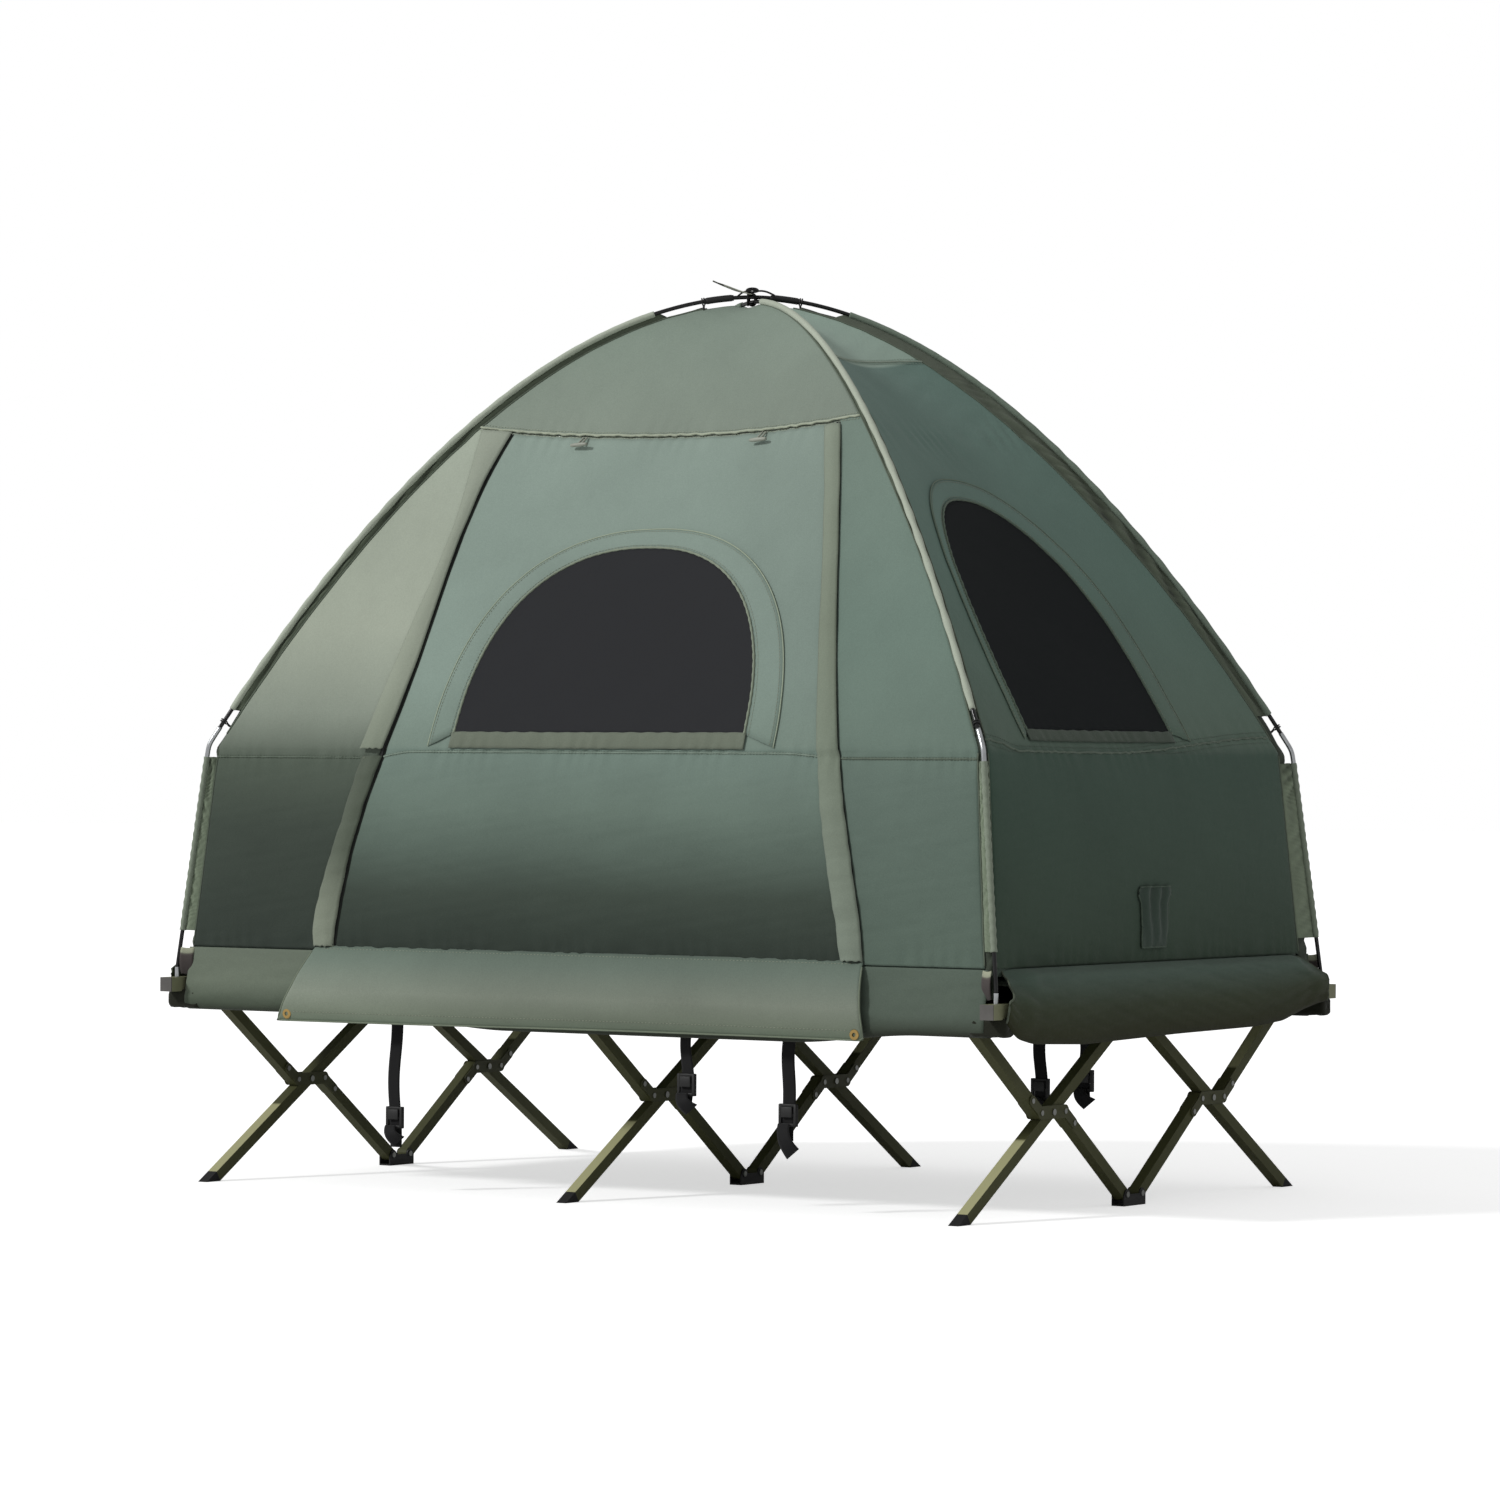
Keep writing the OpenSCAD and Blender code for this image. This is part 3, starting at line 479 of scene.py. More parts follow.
def sunlit_share(tree):
    """1 on the upper faces of the legs beyond their crossings: painted sunlight where they reach out of the
    cot's shadow.
    """
    place = node(tree, "ShaderNodeTexCoord")
    across = node(tree, "ShaderNodeSeparateXYZ", {0: place.outputs["Object"]}).outputs[1]
    upward = node(tree, "ShaderNodeSeparateXYZ", {0: place.outputs["Normal"]}).outputs[2]
    outer = ranged(tree, maths(tree, "ABSOLUTE", across), 0.0, 1.0, 0.394, 0.400)
    return maths(tree, "MULTIPLY", outer, ranged(tree, upward, 0.0, 1.0, 0.4, 0.7))


def coated_metal(name, colour, edge, rough=0.45, sunlit=None):
    """Powder-coated steel: orange-peel bump, stains, pale worn edges and painted sunlight on the outer
    tops.
    """
    mat, tree, shader = new_material(name, Specular_IOR_Level=0.25)
    here = place_of(tree)
    stains = noise(tree, here, 22.0, 6.0, Roughness=0.7)
    base = mixed(tree, ranged(tree, stains, 0.0, 0.55, 0.35, 0.7), opaque(colour), opaque(colour, 0.72))
    if sunlit is not None:
        base = mixed(tree, sunlit_share(tree), base, opaque(sunlit))
    point = node(tree, "ShaderNodeNewGeometry").outputs["Pointiness"]
    rim = ranged(tree, point, 0.0, 0.45, 0.53, 0.60)
    return finished(mat, tree, shader, mixed(tree, rim, base, opaque(edge)),
                    bumped(tree, noise(tree, here, 900.0, 2.0), 0.25, 0.0003),
                    ranged(tree, stains, rough - 0.1, rough + 0.15))


def plain_metal(name, colour, rough, scratch):
    """Bare metal with fine drawn scratches and slight tarnish."""
    mat, tree, shader = new_material(name, Metallic=1.0)
    here = place_of(tree)
    drawn = node(tree, "ShaderNodeMapping", {"Vector": here, "Scale": (900, 900, 60)}).outputs[0]
    lines = noise(tree, drawn, 1.0, 3.0)
    tarnish = ranged(tree, noise(tree, here, 60.0, 4.0), 0.0, 0.5, 0.4, 0.75)
    return finished(mat, tree, shader, mixed(tree, tarnish, opaque(colour), opaque(colour, 0.6)),
                    bumped(tree, lines, scratch, 0.0001), ranged(tree, lines, rough - 0.08, rough + 0.12))


def plastic(name, colour, rough, grain=600.0, strength=0.2):
    """Moulded plastic, rubber or fibreglass with a fine grain and dusty patches."""
    mat, tree, shader = new_material(name)
    here = place_of(tree)
    dust = noise(tree, here, 35.0, 5.0)
    film = ranged(tree, dust, 0.0, 0.35, 0.45, 0.8)
    return finished(mat, tree, shader, mixed(tree, film, opaque(colour), opaque(colour, 1.8, 0.01)),
                    bumped(tree, noise(tree, here, grain, 2.0), strength, 0.0003),
                    ranged(tree, dust, rough - 0.05, rough + 0.15))


CLOTH = cloth_material("oxford_cloth")
TAPE = cloth_material("binding_tape", pitch=0.003, sheen=0.1, rough=0.85, crumple=0.6)
PLEAT = cloth_material("pleated_cloth", sheen=0.1, rough=0.75, crumple=0.7)
MESH = mesh_material()
WEB = cloth_material("black_webbing", pitch=0.004, sheen=0.1, rough=0.8, crumple=0.2)
THREAD = cloth_material("thread", pitch=0.001, sheen=0.1, rough=0.9, crumple=0.0)
# The last colour is painted sunlight on the legs' outer upper faces
FRAME_METAL = coated_metal("olive_coated_steel", (52, 53, 27), (98, 100, 66), 0.6, (214, 212, 164))
BAR_METAL = coated_metal("olive_coated_bar", (106, 109, 80), (150, 152, 124))
BRACKET_METAL = coated_metal("dark_coated_plate", (50, 51, 28), (90, 92, 62), 0.5)
ZINC = plain_metal("zinc", (150, 152, 148), 0.38, 0.2)
SILVER = plain_metal("drawn_aluminium", (205, 208, 210), 0.28, 0.3)
BRASS = plain_metal("brass", (205, 172, 108), 0.25, 0.15)
PLASTIC = plastic("black_plastic", (20, 20, 20), 0.5)
PLASTIC_GREY = plastic("grey_plastic", (150, 154, 142), 0.45)
PLUG = plastic("faded_plug", (86, 84, 81), 0.6)
RUBBER = plastic("black_rubber", (17, 17, 17), 0.75, 300.0, 0.4)
FIBRE = plastic("black_fibreglass", (12, 12, 13), 0.25, 1500.0, 0.1)

# Cloth colours as seen, by panel, from (height, rgb) stops, with painted light and shade: sunlit upper
# panels paler, lower walls darker toward the hem, end walls darker
SAGE_DOOR = [(1.55, (136, 152, 142)), (1.0, (128, 145, 135)), (0.865, (120, 137, 126)),
             (0.855, (114, 132, 122)), (0.74, (104, 121, 110)), (0.66, (88, 103, 93)),
             (0.58, (63, 74, 65)), (0.46, (44, 53, 46))]
SAGE_CAP = [(1.80, (127, 142, 130)), (1.5, (129, 140, 128))]
LEFT_PANEL = [(1.6, (174, 184, 168)), (1.1, (165, 173, 157)), (0.93, (137, 146, 133)),
              (0.83, (81, 92, 80)), (0.70, (60, 70, 61)), (0.46, (48, 57, 50))]
RIGHT_PANEL = [(1.6, (118, 135, 124)), (1.1, (111, 131, 120)), (0.88, (106, 124, 113)),
               (0.80, (98, 115, 105)), (0.46, (90, 106, 95))]
CAP_Z = 1.628
END_PANEL = [(1.80, (156, 176, 164)), (CAP_Z + 0.012, (150, 170, 157)), (CAP_Z + 0.008, (105, 130, 121)),
             (1.2, (98, 123, 112)), (0.88, (91, 109, 96)), (0.85, (66, 87, 75)), (0.6, (61, 79, 66)),
             (0.46, (56, 72, 58))]
UPPER_FLAP = [(1.5, (154, 162, 147)), (1.0, (146, 154, 138)), (0.86, (128, 137, 121))]
# The lower left flap is painted dark at its top: shade where it folds in under the waist seam
LOWER_FLAP = [(0.84, (84, 93, 80)), (0.66, (92, 101, 87)), (0.55, (128, 136, 120)), (0.47, (136, 144, 128))]
RIGHT_FLAP = [(1.5, (136, 146, 130)), (1.1, (127, 137, 120)), (0.85, (122, 133, 117)),
              (0.5, (128, 139, 125))]
# The same by share of the way down a sheet, also with painted light and shade: a lit middle on the weather
# flap, painted shade under the bolster and the rails
WEATHER_FLAP = [(0.0, (96, 110, 99)), (0.2, (104, 117, 106)), (0.6, (124, 132, 119)),
                (0.85, (112, 121, 106)), (1.0, (96, 108, 92))]
BOLSTER = [(0.0, (86, 104, 92)), (0.3, (78, 95, 84)), (0.6, (57, 66, 46)), (0.85, (44, 48, 22)),
           (1.0, (36, 38, 14))]
# The rail cloth is painted paler at its left end, toward the sun, and darker under the rail, in its shade
RAIL_CLOTH_LEFT = [(0, (105, 115, 101)), (0.4, (106, 116, 101)), (0.62, (78, 88, 74)),
                   (0.8, (58, 67, 53)), (1, (30, 31, 23))]
RAIL_CLOTH_RIGHT = [(0, (88, 101, 90)), (0.5, (84, 96, 85)), (0.8, (52, 58, 47)), (1, (28, 29, 22))]
KHAKI = (124, 133, 117)
THREAD_RGB = (150, 156, 138)
WING_RGB = (84, 93, 78)


def dress(obj, body, slot_name, *nodes):
    """Put a piece on its body, in place of CAD nodes if any are named; slot_name is not used."""
    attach(obj, body)
    if nodes:
        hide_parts(*nodes)
    return obj


def sheet(name, body, slot_name, points, material, uv, tint, thick=0.0012, nodes=()):
    """A cloth sheet that rides on a body."""
    return dress(grid(name, points, material, uv, tint, thick), body, slot_name, *nodes)


def binding(name, body, path, radius, rgb, slot_name="cloth_khaki", sides=6):
    """A round line of tape: a binding, a piped edge, a seam or the sleeve of a pole."""
    dress(tube(name, path, radius, TAPE, rgb, sides=sides), body, slot_name)


def sew(name, body, rows, pitch=0.007, rgb=THREAD_RGB, slot_name="cloth_khaki", length=0.0045):
    """Rows of stitches as one piece."""
    parts = [part for row in rows for part in stitch_parts(row, pitch, length)]
    dress(merged(name + "_stitches", parts, THREAD, rgb), body, slot_name)


# ---------------------------------------------------------------- panels of a wall
def level(t):
    """A line straight across a wall at t."""
    return lambda u: t + 0 * u


def top_t(u):
    """The seam above a door and its side panels, higher toward the poles."""
    return t_at(DOOR_TOP_Z - 0.001 + 0.010 * np.clip(np.asarray(u, float) / 0.44, -1, 1) ** 2)


def panel(name, body, slot_name, wall, lines, stops, rows, cols, shade=None, nodes=()):
    """A piece of a wall between its lines: top and bottom by u, left and right by t."""
    top, bottom, left, right = lines
    f, s = steps(rows, cols)
    u = 0 * f * s
    for _ in range(4):
        t = top(u) + (bottom(u) - top(u)) * f
        u = left(t) + (right(t) - left(t)) * s
    v = wall.v_at(t)
    tint = tint_along(line_z(t), stops)
    # shade scales the tint by place: painted light and shade over the panel
    if shade is not None:
        tint = tint * shade(u, line_z(t))[..., None]
    sheet(name, body, slot_name, wall.at(u, t), CLOTH, stacked(u, v), tint, nodes=nodes)


def inside(lo, hi, t):
    """Ends for a seam at t, just inside the lines lo and hi."""
    return lo(t) + 0.004, hi(t) - 0.004


def through(*places):
    """The smooth curve of u against height through (height, u) places, as a function of t."""
    curve = np.polyfit(*zip(*places), len(places) - 1)
    return lambda t: np.polyval(curve, line_z(t))


# The zips beside the door and the sewn edges of their storm flaps
zip_left = through((0.49, -0.5681), (0.68, -0.5212), (0.99, -0.4541), (1.29, -0.4225), (1.48, -0.3827))
zip_right = through((0.49, 0.653), (0.68, 0.6225), (0.99, 0.5407), (1.29, 0.4604), (1.48, 0.4001))
flap_left = through((0.48, -0.6197), (0.58, -0.6004), (0.76, -0.5441), (0.99, -0.5015), (1.21, -0.4537),
                    (1.39, -0.4397), (1.49, -0.4417))
flap_right = through((0.49, 0.607), (0.68, 0.5734), (0.99, 0.5025), (1.29, 0.4287), (1.48, 0.3641))
T_TOP = float(top_t(0.41))  # the top seam's place at the upper ends of the zips
T_CROWN = 0.035  # where the walls start below the crown
GAP = 0.002  # half the slit at a zip

# Windows and the seams round them: low edge, high edge, middle and half width
DOOR_WINDOW, DOOR_WINDOW_SEAM = (0.890, 1.256, 0.026, 0.337), (0.864, 1.293, 0.034, 0.400)
END_WINDOW, END_WINDOW_SEAM = (0.900, 1.354, -0.112, 0.267), (0.884, 1.397, -0.090, 0.310)


def arch_outline(wall, low_z, high_z, middle, half, power=2.3, count=96):
    """A window's outline on the cloth: (u, v) points up the left side, over and down the right."""
    v_low, v_high = wall.v_of(low_z), wall.v_of(high_z)
    a = np.linspace(math.pi, 0, count)
    c, s = np.cos(a), np.sin(a)
    x = np.sign(c) * np.abs(c) ** (2 / power) * half
    y = np.abs(s) ** (2 / power) * (v_low - v_high)
    return stacked(middle + x, v_low - y)


def on_wall(wall, uv, proud):
    """Points on a wall from (u, v) places."""
    return wall.at(uv[..., 0], wall.t_of(uv[..., 1]), proud)


def paler(rgb, factor):
    """A colour made paler by a factor above 1."""
    return tuple(factor * c for c in rgb)


def window(name, wall, body, shape, outer_shape, tint, strip_tint, nodes):
    """A mesh window: mesh, raised facing, binding, outer seam, stitches and a hem strip below."""
    edge, outer = arch_outline(wall, *shape), arch_outline(wall, *outer_shape)
    low_v = wall.v_of(shape[0])
    rows = np.linspace(1.0, 0.0, 40)[:, None]
    fan = stacked(edge[:, 0], low_v + (edge[:, 1] - low_v) * rows)
    sheet(name + "_mesh", body, "mesh", on_wall(wall, fan, 0.0035), MESH, fan, tint, 0.0006, nodes)

    across = np.linspace(0, 1, 7)
    uv = np.stack([edge + (outer - edge) * k for k in across])
    lift = 0.0024 + 0.0012 * np.sin(math.pi * across)[:, None]
    # The facing takes the wall's painted light and shade, a little paler
    colour = tint_along(line_z(wall.t_of(uv[..., 1])), SAGE_DOOR if wall.long else END_PANEL) * 1.04
    sheet(name + "_facing", body, "cloth_sage", on_wall(wall, uv, lift), CLOTH, uv, colour, 0.0008)

    rim = on_wall(wall, resampled(edge, 0.006), 0.004)
    wobble = 0.0024 + 0.0006 * np.sin(np.arange(len(rim)) * 1.9)
    binding(name + "_binding", body, rim, wobble, paler(strip_tint, 1.12), sides=8)
    ridge = on_wall(wall, resampled(outer, 0.008), 0.0030)
    binding(name + "_outer_seam", body, ridge, 0.0013, paler(strip_tint, 1.3))
    rows = [resampled(edge + (outer - edge) * k, 0.01) for k in (0.88, 0.14)]
    sew(name, body, [on_wall(wall, row, 0.0038) for row in rows])
    hem_strip(name + "_hem_strip", wall, body, shape, strip_tint)


def hem_strip(name, wall, body, shape, rgb):
    """The doubled strip of cloth under a window's mesh."""
    low_z, _, middle, half = shape
    drop, s = steps(6, 160, -1.0)
    u = middle + (half + 0.004) * s
    height = 0.034 if wall.long else 0.024
    v = wall.v_of(low_z) - 0.003 + height * drop + 0.0005 * np.sin(u * 160) * (1 - drop)
    strip = wall.at(u, wall.t_of(v), 0.0042 + 0.0007 * np.sin(u * 140) * (1 - drop))
    colour = linear(rgb) * (0.82 - 0.08 * drop + 0 * u)[..., None]
    sheet(name, body, "cloth_khaki", strip, TAPE, stacked(u, v), colour, 0.001)


def seam(name, wall, body, t_line, ends, tint, radius, ragged=0.0008, slot_name="cloth_khaki"):
    """A bulky sewn seam across a wall: a ragged ridge with thread on both sides of it."""
    u = np.linspace(*ends, max(24, int((ends[1] - ends[0]) / 0.006)))
    t = t_line(u)
    wave = ragged * (np.sin(u * 310) + np.sin(u * 173 + 1.3))
    binding(name, body, wall.at(u, t + wave * 0.6, 0.0016), radius + 0.35 * wave, tint, slot_name, 7)
    sew(name, body, [wall.at(u, t + k, 0.0014) for k in (-0.006, 0.006)], rgb=tint, slot_name=slot_name)


def door_wall(side, tag):
    """Cap and side panels of a door wall: the parts that stay when the door opens."""
    wall = WALLS[side]
    lo, hi = wall.left, wall.right
    beside_left, beside_right = (lambda t: zip_left(t) - GAP), (lambda t: zip_right(t) + GAP)
    cap = (level(T_CROWN), lambda u: top_t(u) - 0.0015, lo, hi)
    # The cap is painted paler toward its left: painted sunlight from that side
    panel(f"{tag}_cap", "canopy", "cloth_sage", wall, cap, SAGE_CAP, 70, 110,
          lambda u, z: 1.06 - 0.25 * u, [f"{tag}_wall"])
    start = lambda u: top_t(u) - 0.002
    panel(f"{tag}_left_panel", "canopy", "cloth_khaki", wall, (start, level(2.0), lo, beside_left),
          LEFT_PANEL, 150, 46)
    panel(f"{tag}_right_panel", "canopy", "cloth_sage", wall, (start, level(2.0), beside_right, hi),
          RIGHT_PANEL, 150, 40)
    seam(f"{tag}_top_seam", wall, "canopy", lambda u: top_t(u) - 0.003, inside(lo, hi, T_TOP),
         (170, 178, 158), 0.0026)
    for name, ends in (("left", (lo(1.05), zip_left(1.05))), ("right", (zip_right(1.05), hi(1.05)))):
        seam(f"{tag}_{name}_waist_seam", wall, "canopy", wall.waist_t, ends, (104, 116, 102),
             0.0014, 0.0004)
    for name, sign in (("left", -1), ("right", 1)):
        edge_seam(f"{tag}_{name}_edge", wall, sign)
    # Painted light: this facing lies in the recess behind the top seam but is tinted pale, so the gap does
    # not read as shadow
    facing(f"{tag}_top_facing", wall, "canopy", (zip_left(T_TOP), zip_right(T_TOP)),
           lambda u: top_t(u) - 0.006, lambda u: top_t(u) + 0.012, (158, 170, 156))
    hem_band(f"{tag}_left_hem", wall, "canopy", lo, beside_left)
    hem_band(f"{tag}_right_hem", wall, "canopy", beside_right, hi)
    inner = lambda t: zip_left(t) + 0.006
    storm_flap(f"{tag}_upper_left_flap", wall, "canopy", flap_left, inner, UPPER_FLAP,
               T_TOP + 0.003, t_at(0.856), 0.008)
    storm_flap(f"{tag}_lower_left_flap", wall, "canopy", lambda t: flap_left(t) + 0.006, inner,
               LOWER_FLAP, t_at(0.842), 1.985, 0.003)


def facing(name, wall, body, ends, t_start, t_end, rgb, drop=0.0):
    """A narrow inner strip behind a slit. With a drop, its lower edge hangs straight down."""
    u = np.linspace(*ends, 90)
    rows = [wall.at(u, t_start(u), -0.0035), wall.at(u, t_end(u), -0.0035)]
    if drop:
        rows.append(rows[-1] - np.array([0, 0, drop]))
    v = np.linspace(0, 0.02, len(rows))[:, None]
    sheet(name, body, "cloth_khaki", np.stack(rows), CLOTH, stacked(u, v), rgb)


def hem_band(name, wall, body, lo, hi):
    """The turned-in hem that closes the slit above the bed's raised side, tinted dark: painted shade of the
    crease where the wall meets the bed's roll.
    """
    facing(name, wall, body, inside(lo, hi, 1.98), level(1.97), level(2.0), (72, 85, 75), 0.014)


def edge_seam(name, wall, sign):
    """The piped edge where a wall is sewn to its wing."""
    for part, t0, t1 in (("upper", 0.09, 0.985), ("lower", 1.02, 1.99)):
        t = np.linspace(t0, t1, 120)
        path = wall.at(wall.edge(t, sign), t, 0.001)
        binding(f"{name}_{part}", "canopy", path, 0.0016, (96, 106, 92), sides=7)


def storm_flap(name, wall, body, left, right, stops, t0, t1, lift):
    """A strip of cloth over a zip, from t0 to t1, stitched along its left edge."""
    f, s = steps(int((t1 - t0) * 120) + 4, 9)
    t = t0 + (t1 - t0) * f
    u = left(t) + (right(t) - left(t)) * s
    ragged = 0.004 * np.sin(u * 420 + 1) * smooth(t1 - 0.03, t1, t)
    tt = t + ragged
    curl = 0.0045 + 0.005 * np.sin(math.pi * s) + 0.0018 * ripple(u * 4, tt * 9, 77)
    curl = curl + (lift - 0.0045) * smooth(t1 - 0.10, t1, t)
    points = wall.at(u, tt, curl)
    colour = tint_along(line_z(tt), stops)
    sheet(name, body, "cloth_khaki", points, CLOTH, stacked(u, wall.v_at(tt)), colour)
    sew(name, body, [points[:, 1]], 0.008)


def zip_chain(name, wall, body, line):
    """A coil zip: a coil with small teeth on a dark tape."""
    count = 260
    t = np.linspace(T_TOP + 0.006, 1.98, count)
    u = line(t)
    across = u[:, None] + np.array([-0.007, 0, 0.007])
    uv = stacked(across, wall.v_at(t)[:, None])
    tape = wall.at(across, t[:, None], 0.0012)
    sheet(name + "_tape", body, "webbing", tape, WEB, uv, (30, 34, 30), 0.0006)
    teeth = 0.0020 + 0.0005 * np.sin(np.arange(count) * 2.2)
    dress(tube(name + "_coil", wall.at(u, t, 0.0026), teeth, PLASTIC, sides=6), body, "plastic")


def door(side, body, tag):
    """A door panel with its window, seams, right-hand storm flap, toggles and weather flap."""
    wall = WALLS[side]
    lo, hi = (lambda t: zip_left(t) + GAP), (lambda t: zip_right(t) - GAP)
    # Painted sunlight: the upper door is made paler toward its left, the side the sun comes from
    left_light = lambda u, z: 1.0 + (0.06 - 0.22 * u) * smooth(0.86, 1.0, z)
    lines = (lambda u: top_t(u) + 0.004, level(2.0), lo, hi)
    panel(f"{tag}_door_panel", body, "cloth_sage", wall, lines, SAGE_DOOR, 170, 150, left_light,
          [f"{tag}_door"])
    seam(f"{tag}_door_waist_seam", wall, body, wall.waist_t, inside(lo, hi, 1.03), (130, 146, 133),
         0.0016, 0.0005, "cloth_sage")
    window(f"{tag}_door_window", wall, body, DOOR_WINDOW, DOOR_WINDOW_SEAM, (52, 53, 55), KHAKI,
           [f"{tag}_door_window"])
    storm_flap(f"{tag}_right_storm_flap", wall, body, flap_right, lambda t: zip_right(t) + 0.004,
               RIGHT_FLAP, T_TOP + 0.010, 1.985, 0.0045)
    hem_band(f"{tag}_door_hem", wall, body, lo, hi)
    zip_chain(f"{tag}_left_zip", wall, body, lambda t: zip_left(t) + GAP + 0.002)
    zip_chain(f"{tag}_right_zip", wall, body, lambda t: zip_right(t) - GAP - 0.002)
    weather_flap(wall, body, tag)
    toggles(wall, body, tag)


def weather_flap(wall, body, tag):
    """The flared flap under the door, hemmed and stitched; its grommets come from the CAD."""
    f, s = steps(26, 170)
    top_l, top_r = zip_left(2.0) - 0.035, zip_right(2.0) + 0.004
    lo = top_l + (-0.684 - top_l) * f
    hi = top_r + (0.676 - top_r) * f
    u = lo + (hi - lo) * s
    out_top = abs(wall.at([0.0], [2.0])[0][1])
    out = out_top + (RAIL_OUT + 0.016 - out_top) * np.sin(f * math.pi / 2) ** 0.7
    out = out + 0.006 * np.sin(math.pi * f) + 0.003 * ripple(u * 2.2, f * 2, 91) * f
    out = out + 0.0012 * np.sin(u * 120 + 3 * np.sin(u * 17)) * np.exp(-f * 14)
    z = HEM_Z + 0.007 + (FLAP_Z - 0.004 - HEM_Z) * f + 0.002 * f * np.sin(u * 3.1 + 0.6)
    points = wall.place(u, out, z)
    # Painted light: the flap is made up to a quarter paler toward its left, the sunward side, and a little
    # paler at its right end
    light = 1 + 0.25 * smooth(0.0, 0.65, -u) + 0.08 * smooth(0.3, 0.6, u)
    tint = tint_along(f + 0 * u, WEATHER_FLAP) * light[..., None]
    name = f"{tag}_weather_flap"
    sheet(name, body, "cloth_khaki", points, CLOTH, stacked(u, f * 0.16), tint, 0.0014)
    edge = np.concatenate([points[2:, 0], points[-1, 1:-1], points[2:, -1][::-1]])
    binding(name + "_hem", body, resampled(edge, 0.012), 0.0019, (118, 128, 110))
    proud = wall.place(u, out + 0.0012, z)
    sew(name, body, [proud[-4, 4:-4], proud[1, 3:-3]], 0.008)


def toggles(wall, body, tag):
    """Two roll-up toggles on elastic loops under the top seam."""
    bars, loops = [], []
    for u in (-0.200, 0.220):
        base = wall.at([u], top_t([u]) + 0.004, 0.003)[0]
        low = wall.at([u - 0.004], t_at([DOOR_TOP_Z - 0.022]), 0.011)[0]
        for shift in (-0.004, 0.004):
            loop = np.array([base, low]) + wall.place(shift, 0.0, 0.0)
            loops.append(tube_mesh(resampled(loop, 0.004), 0.0017, sides=6))
        x = np.linspace(-0.019, 0.019, 15)
        barrel = 0.0042 * (1 - 0.35 * np.abs(x / 0.019) ** 3)
        bars.append(tube_mesh(low + wall.place(x, 0 * x, 0.06 * x), barrel, sides=12))
    dress(merged(f"{tag}_toggle_bars", bars, PLASTIC_GREY), body, "cloth_khaki", f"{tag}_door_toggles")
    dress(merged(f"{tag}_toggle_loops", loops, TAPE, (150, 152, 140)), body, "cloth_khaki")


def end_wall(side, tag):
    """An end wall: one panel with a paler cap, a window, seams and a gathered cable port."""
    wall = WALLS[side]
    lo, hi = wall.left, wall.right
    # Painted light: the upper end wall is made up to a tenth paler toward positive u
    far_light = lambda u, z: 1.0 + 0.10 * smooth(-0.1, 0.45, u) * (z > 0.87)
    panel(f"{tag}_wall_cloth", "canopy", "cloth_green", wall, (level(T_CROWN), level(2.0), lo, hi),
          END_PANEL, 230, 130, far_light, [f"{tag}_wall"])
    hem_band(f"{tag}_hem", wall, "canopy", lo, hi)
    cap_line = lambda u: t_at(CAP_Z + 0.020 * (1 - (u / 0.17) ** 2))
    seam(f"{tag}_cap_seam", wall, "canopy", cap_line, inside(lo, hi, t_at(CAP_Z)), (150, 163, 149),
         0.0018, 0.0005)
    seam(f"{tag}_waist_seam", wall, "canopy", wall.waist_t, (lo(1.0) + 0.004, hi(0.97) - 0.004),
         (98, 111, 98), 0.0022, 0.0007)
    # The end window's mesh and strip are painted darker: shade on the end wall, which faces away from the
    # sun
    window(f"{tag}_end_window", wall, "canopy", END_WINDOW, END_WINDOW_SEAM, (30, 34, 35), (84, 96, 84),
           ["end_windows"] if side == RIGHT else [])
    for name, sign in (("near", -1), ("far", 1)):
        edge_seam(f"{tag}_{name}_edge", wall, sign)
    cable_port(wall, tag)


def cable_port(wall, tag):
    """A small gathered sleeve sewn to the lower wall, pinched at its top."""
    f, s = steps(40, 40, -1.0)
    round_top = 1 - s ** 4
    half = 0.052 + 0.010 * np.exp(-((f - 0.1) / 0.12) ** 2) - 0.006 * f
    u = -0.03 + half * s
    folds = 0.0045 * np.sin(s * 9 + 2.2 * np.sin(f * 4)) * (1 - f) ** 0.7 * round_top
    bulge = np.sin(math.pi * np.clip(f, 0.02, 0.98)) ** 0.6 * (1 - 0.5 * f)
    lift = 0.004 + 0.009 * round_top * bulge + folds
    points = wall.at(u, t_at(0.602 - 0.112 * f), np.maximum(lift, 0.002))
    # Painted shade and highlight in the folds
    tint = linear((60, 74, 65)) * (1 + 22 * folds)[..., None]
    sheet(f"{tag}_cable_port", "canopy", "cloth_green", points, PLEAT, stacked(u, f * 0.11), tint, 0.001)
    ring = np.concatenate([points[0], points[1:, -1], points[-1, ::-1][1:], points[::-1, 0][1:-1]])
    binding(f"{tag}_cable_port_edge", "canopy", resampled(ring, 0.006), 0.0017, (78, 92, 80), "cloth_green")


# ---------------------------------------------------------------- poles and wings
def pole_point(corner, t, drop=0.0):
    """A point of the pole line: corner 0 to 3 anticlockwise from (+X, +Y)."""
    sx, sy = ((1, 1), (-1, 1), (-1, -1), (1, -1))[corner]
    r = line_r(t)
    z = line_z(t) - drop * (1 - np.clip(t, 0, 1) ** ARCH_POWER)
    return stacked(sx * DX * r, sy * DY * r, z)


def arch_path(corner):
    """The middle line of the arch that starts at a corner."""
    t = np.linspace(1 - BEND_END, 0, 150)
    one = pole_point(corner, t, corner_drop(corner))
    other = pole_point((corner + 2) % 4, t[::-1][1:], corner_drop(corner))
    return np.concatenate([one, other])


def corner_drop(corner):
    """How far a corner's arch lies under the other one where they cross."""
    return 0.0 if corner in (0, 2) else ARCH_DROP


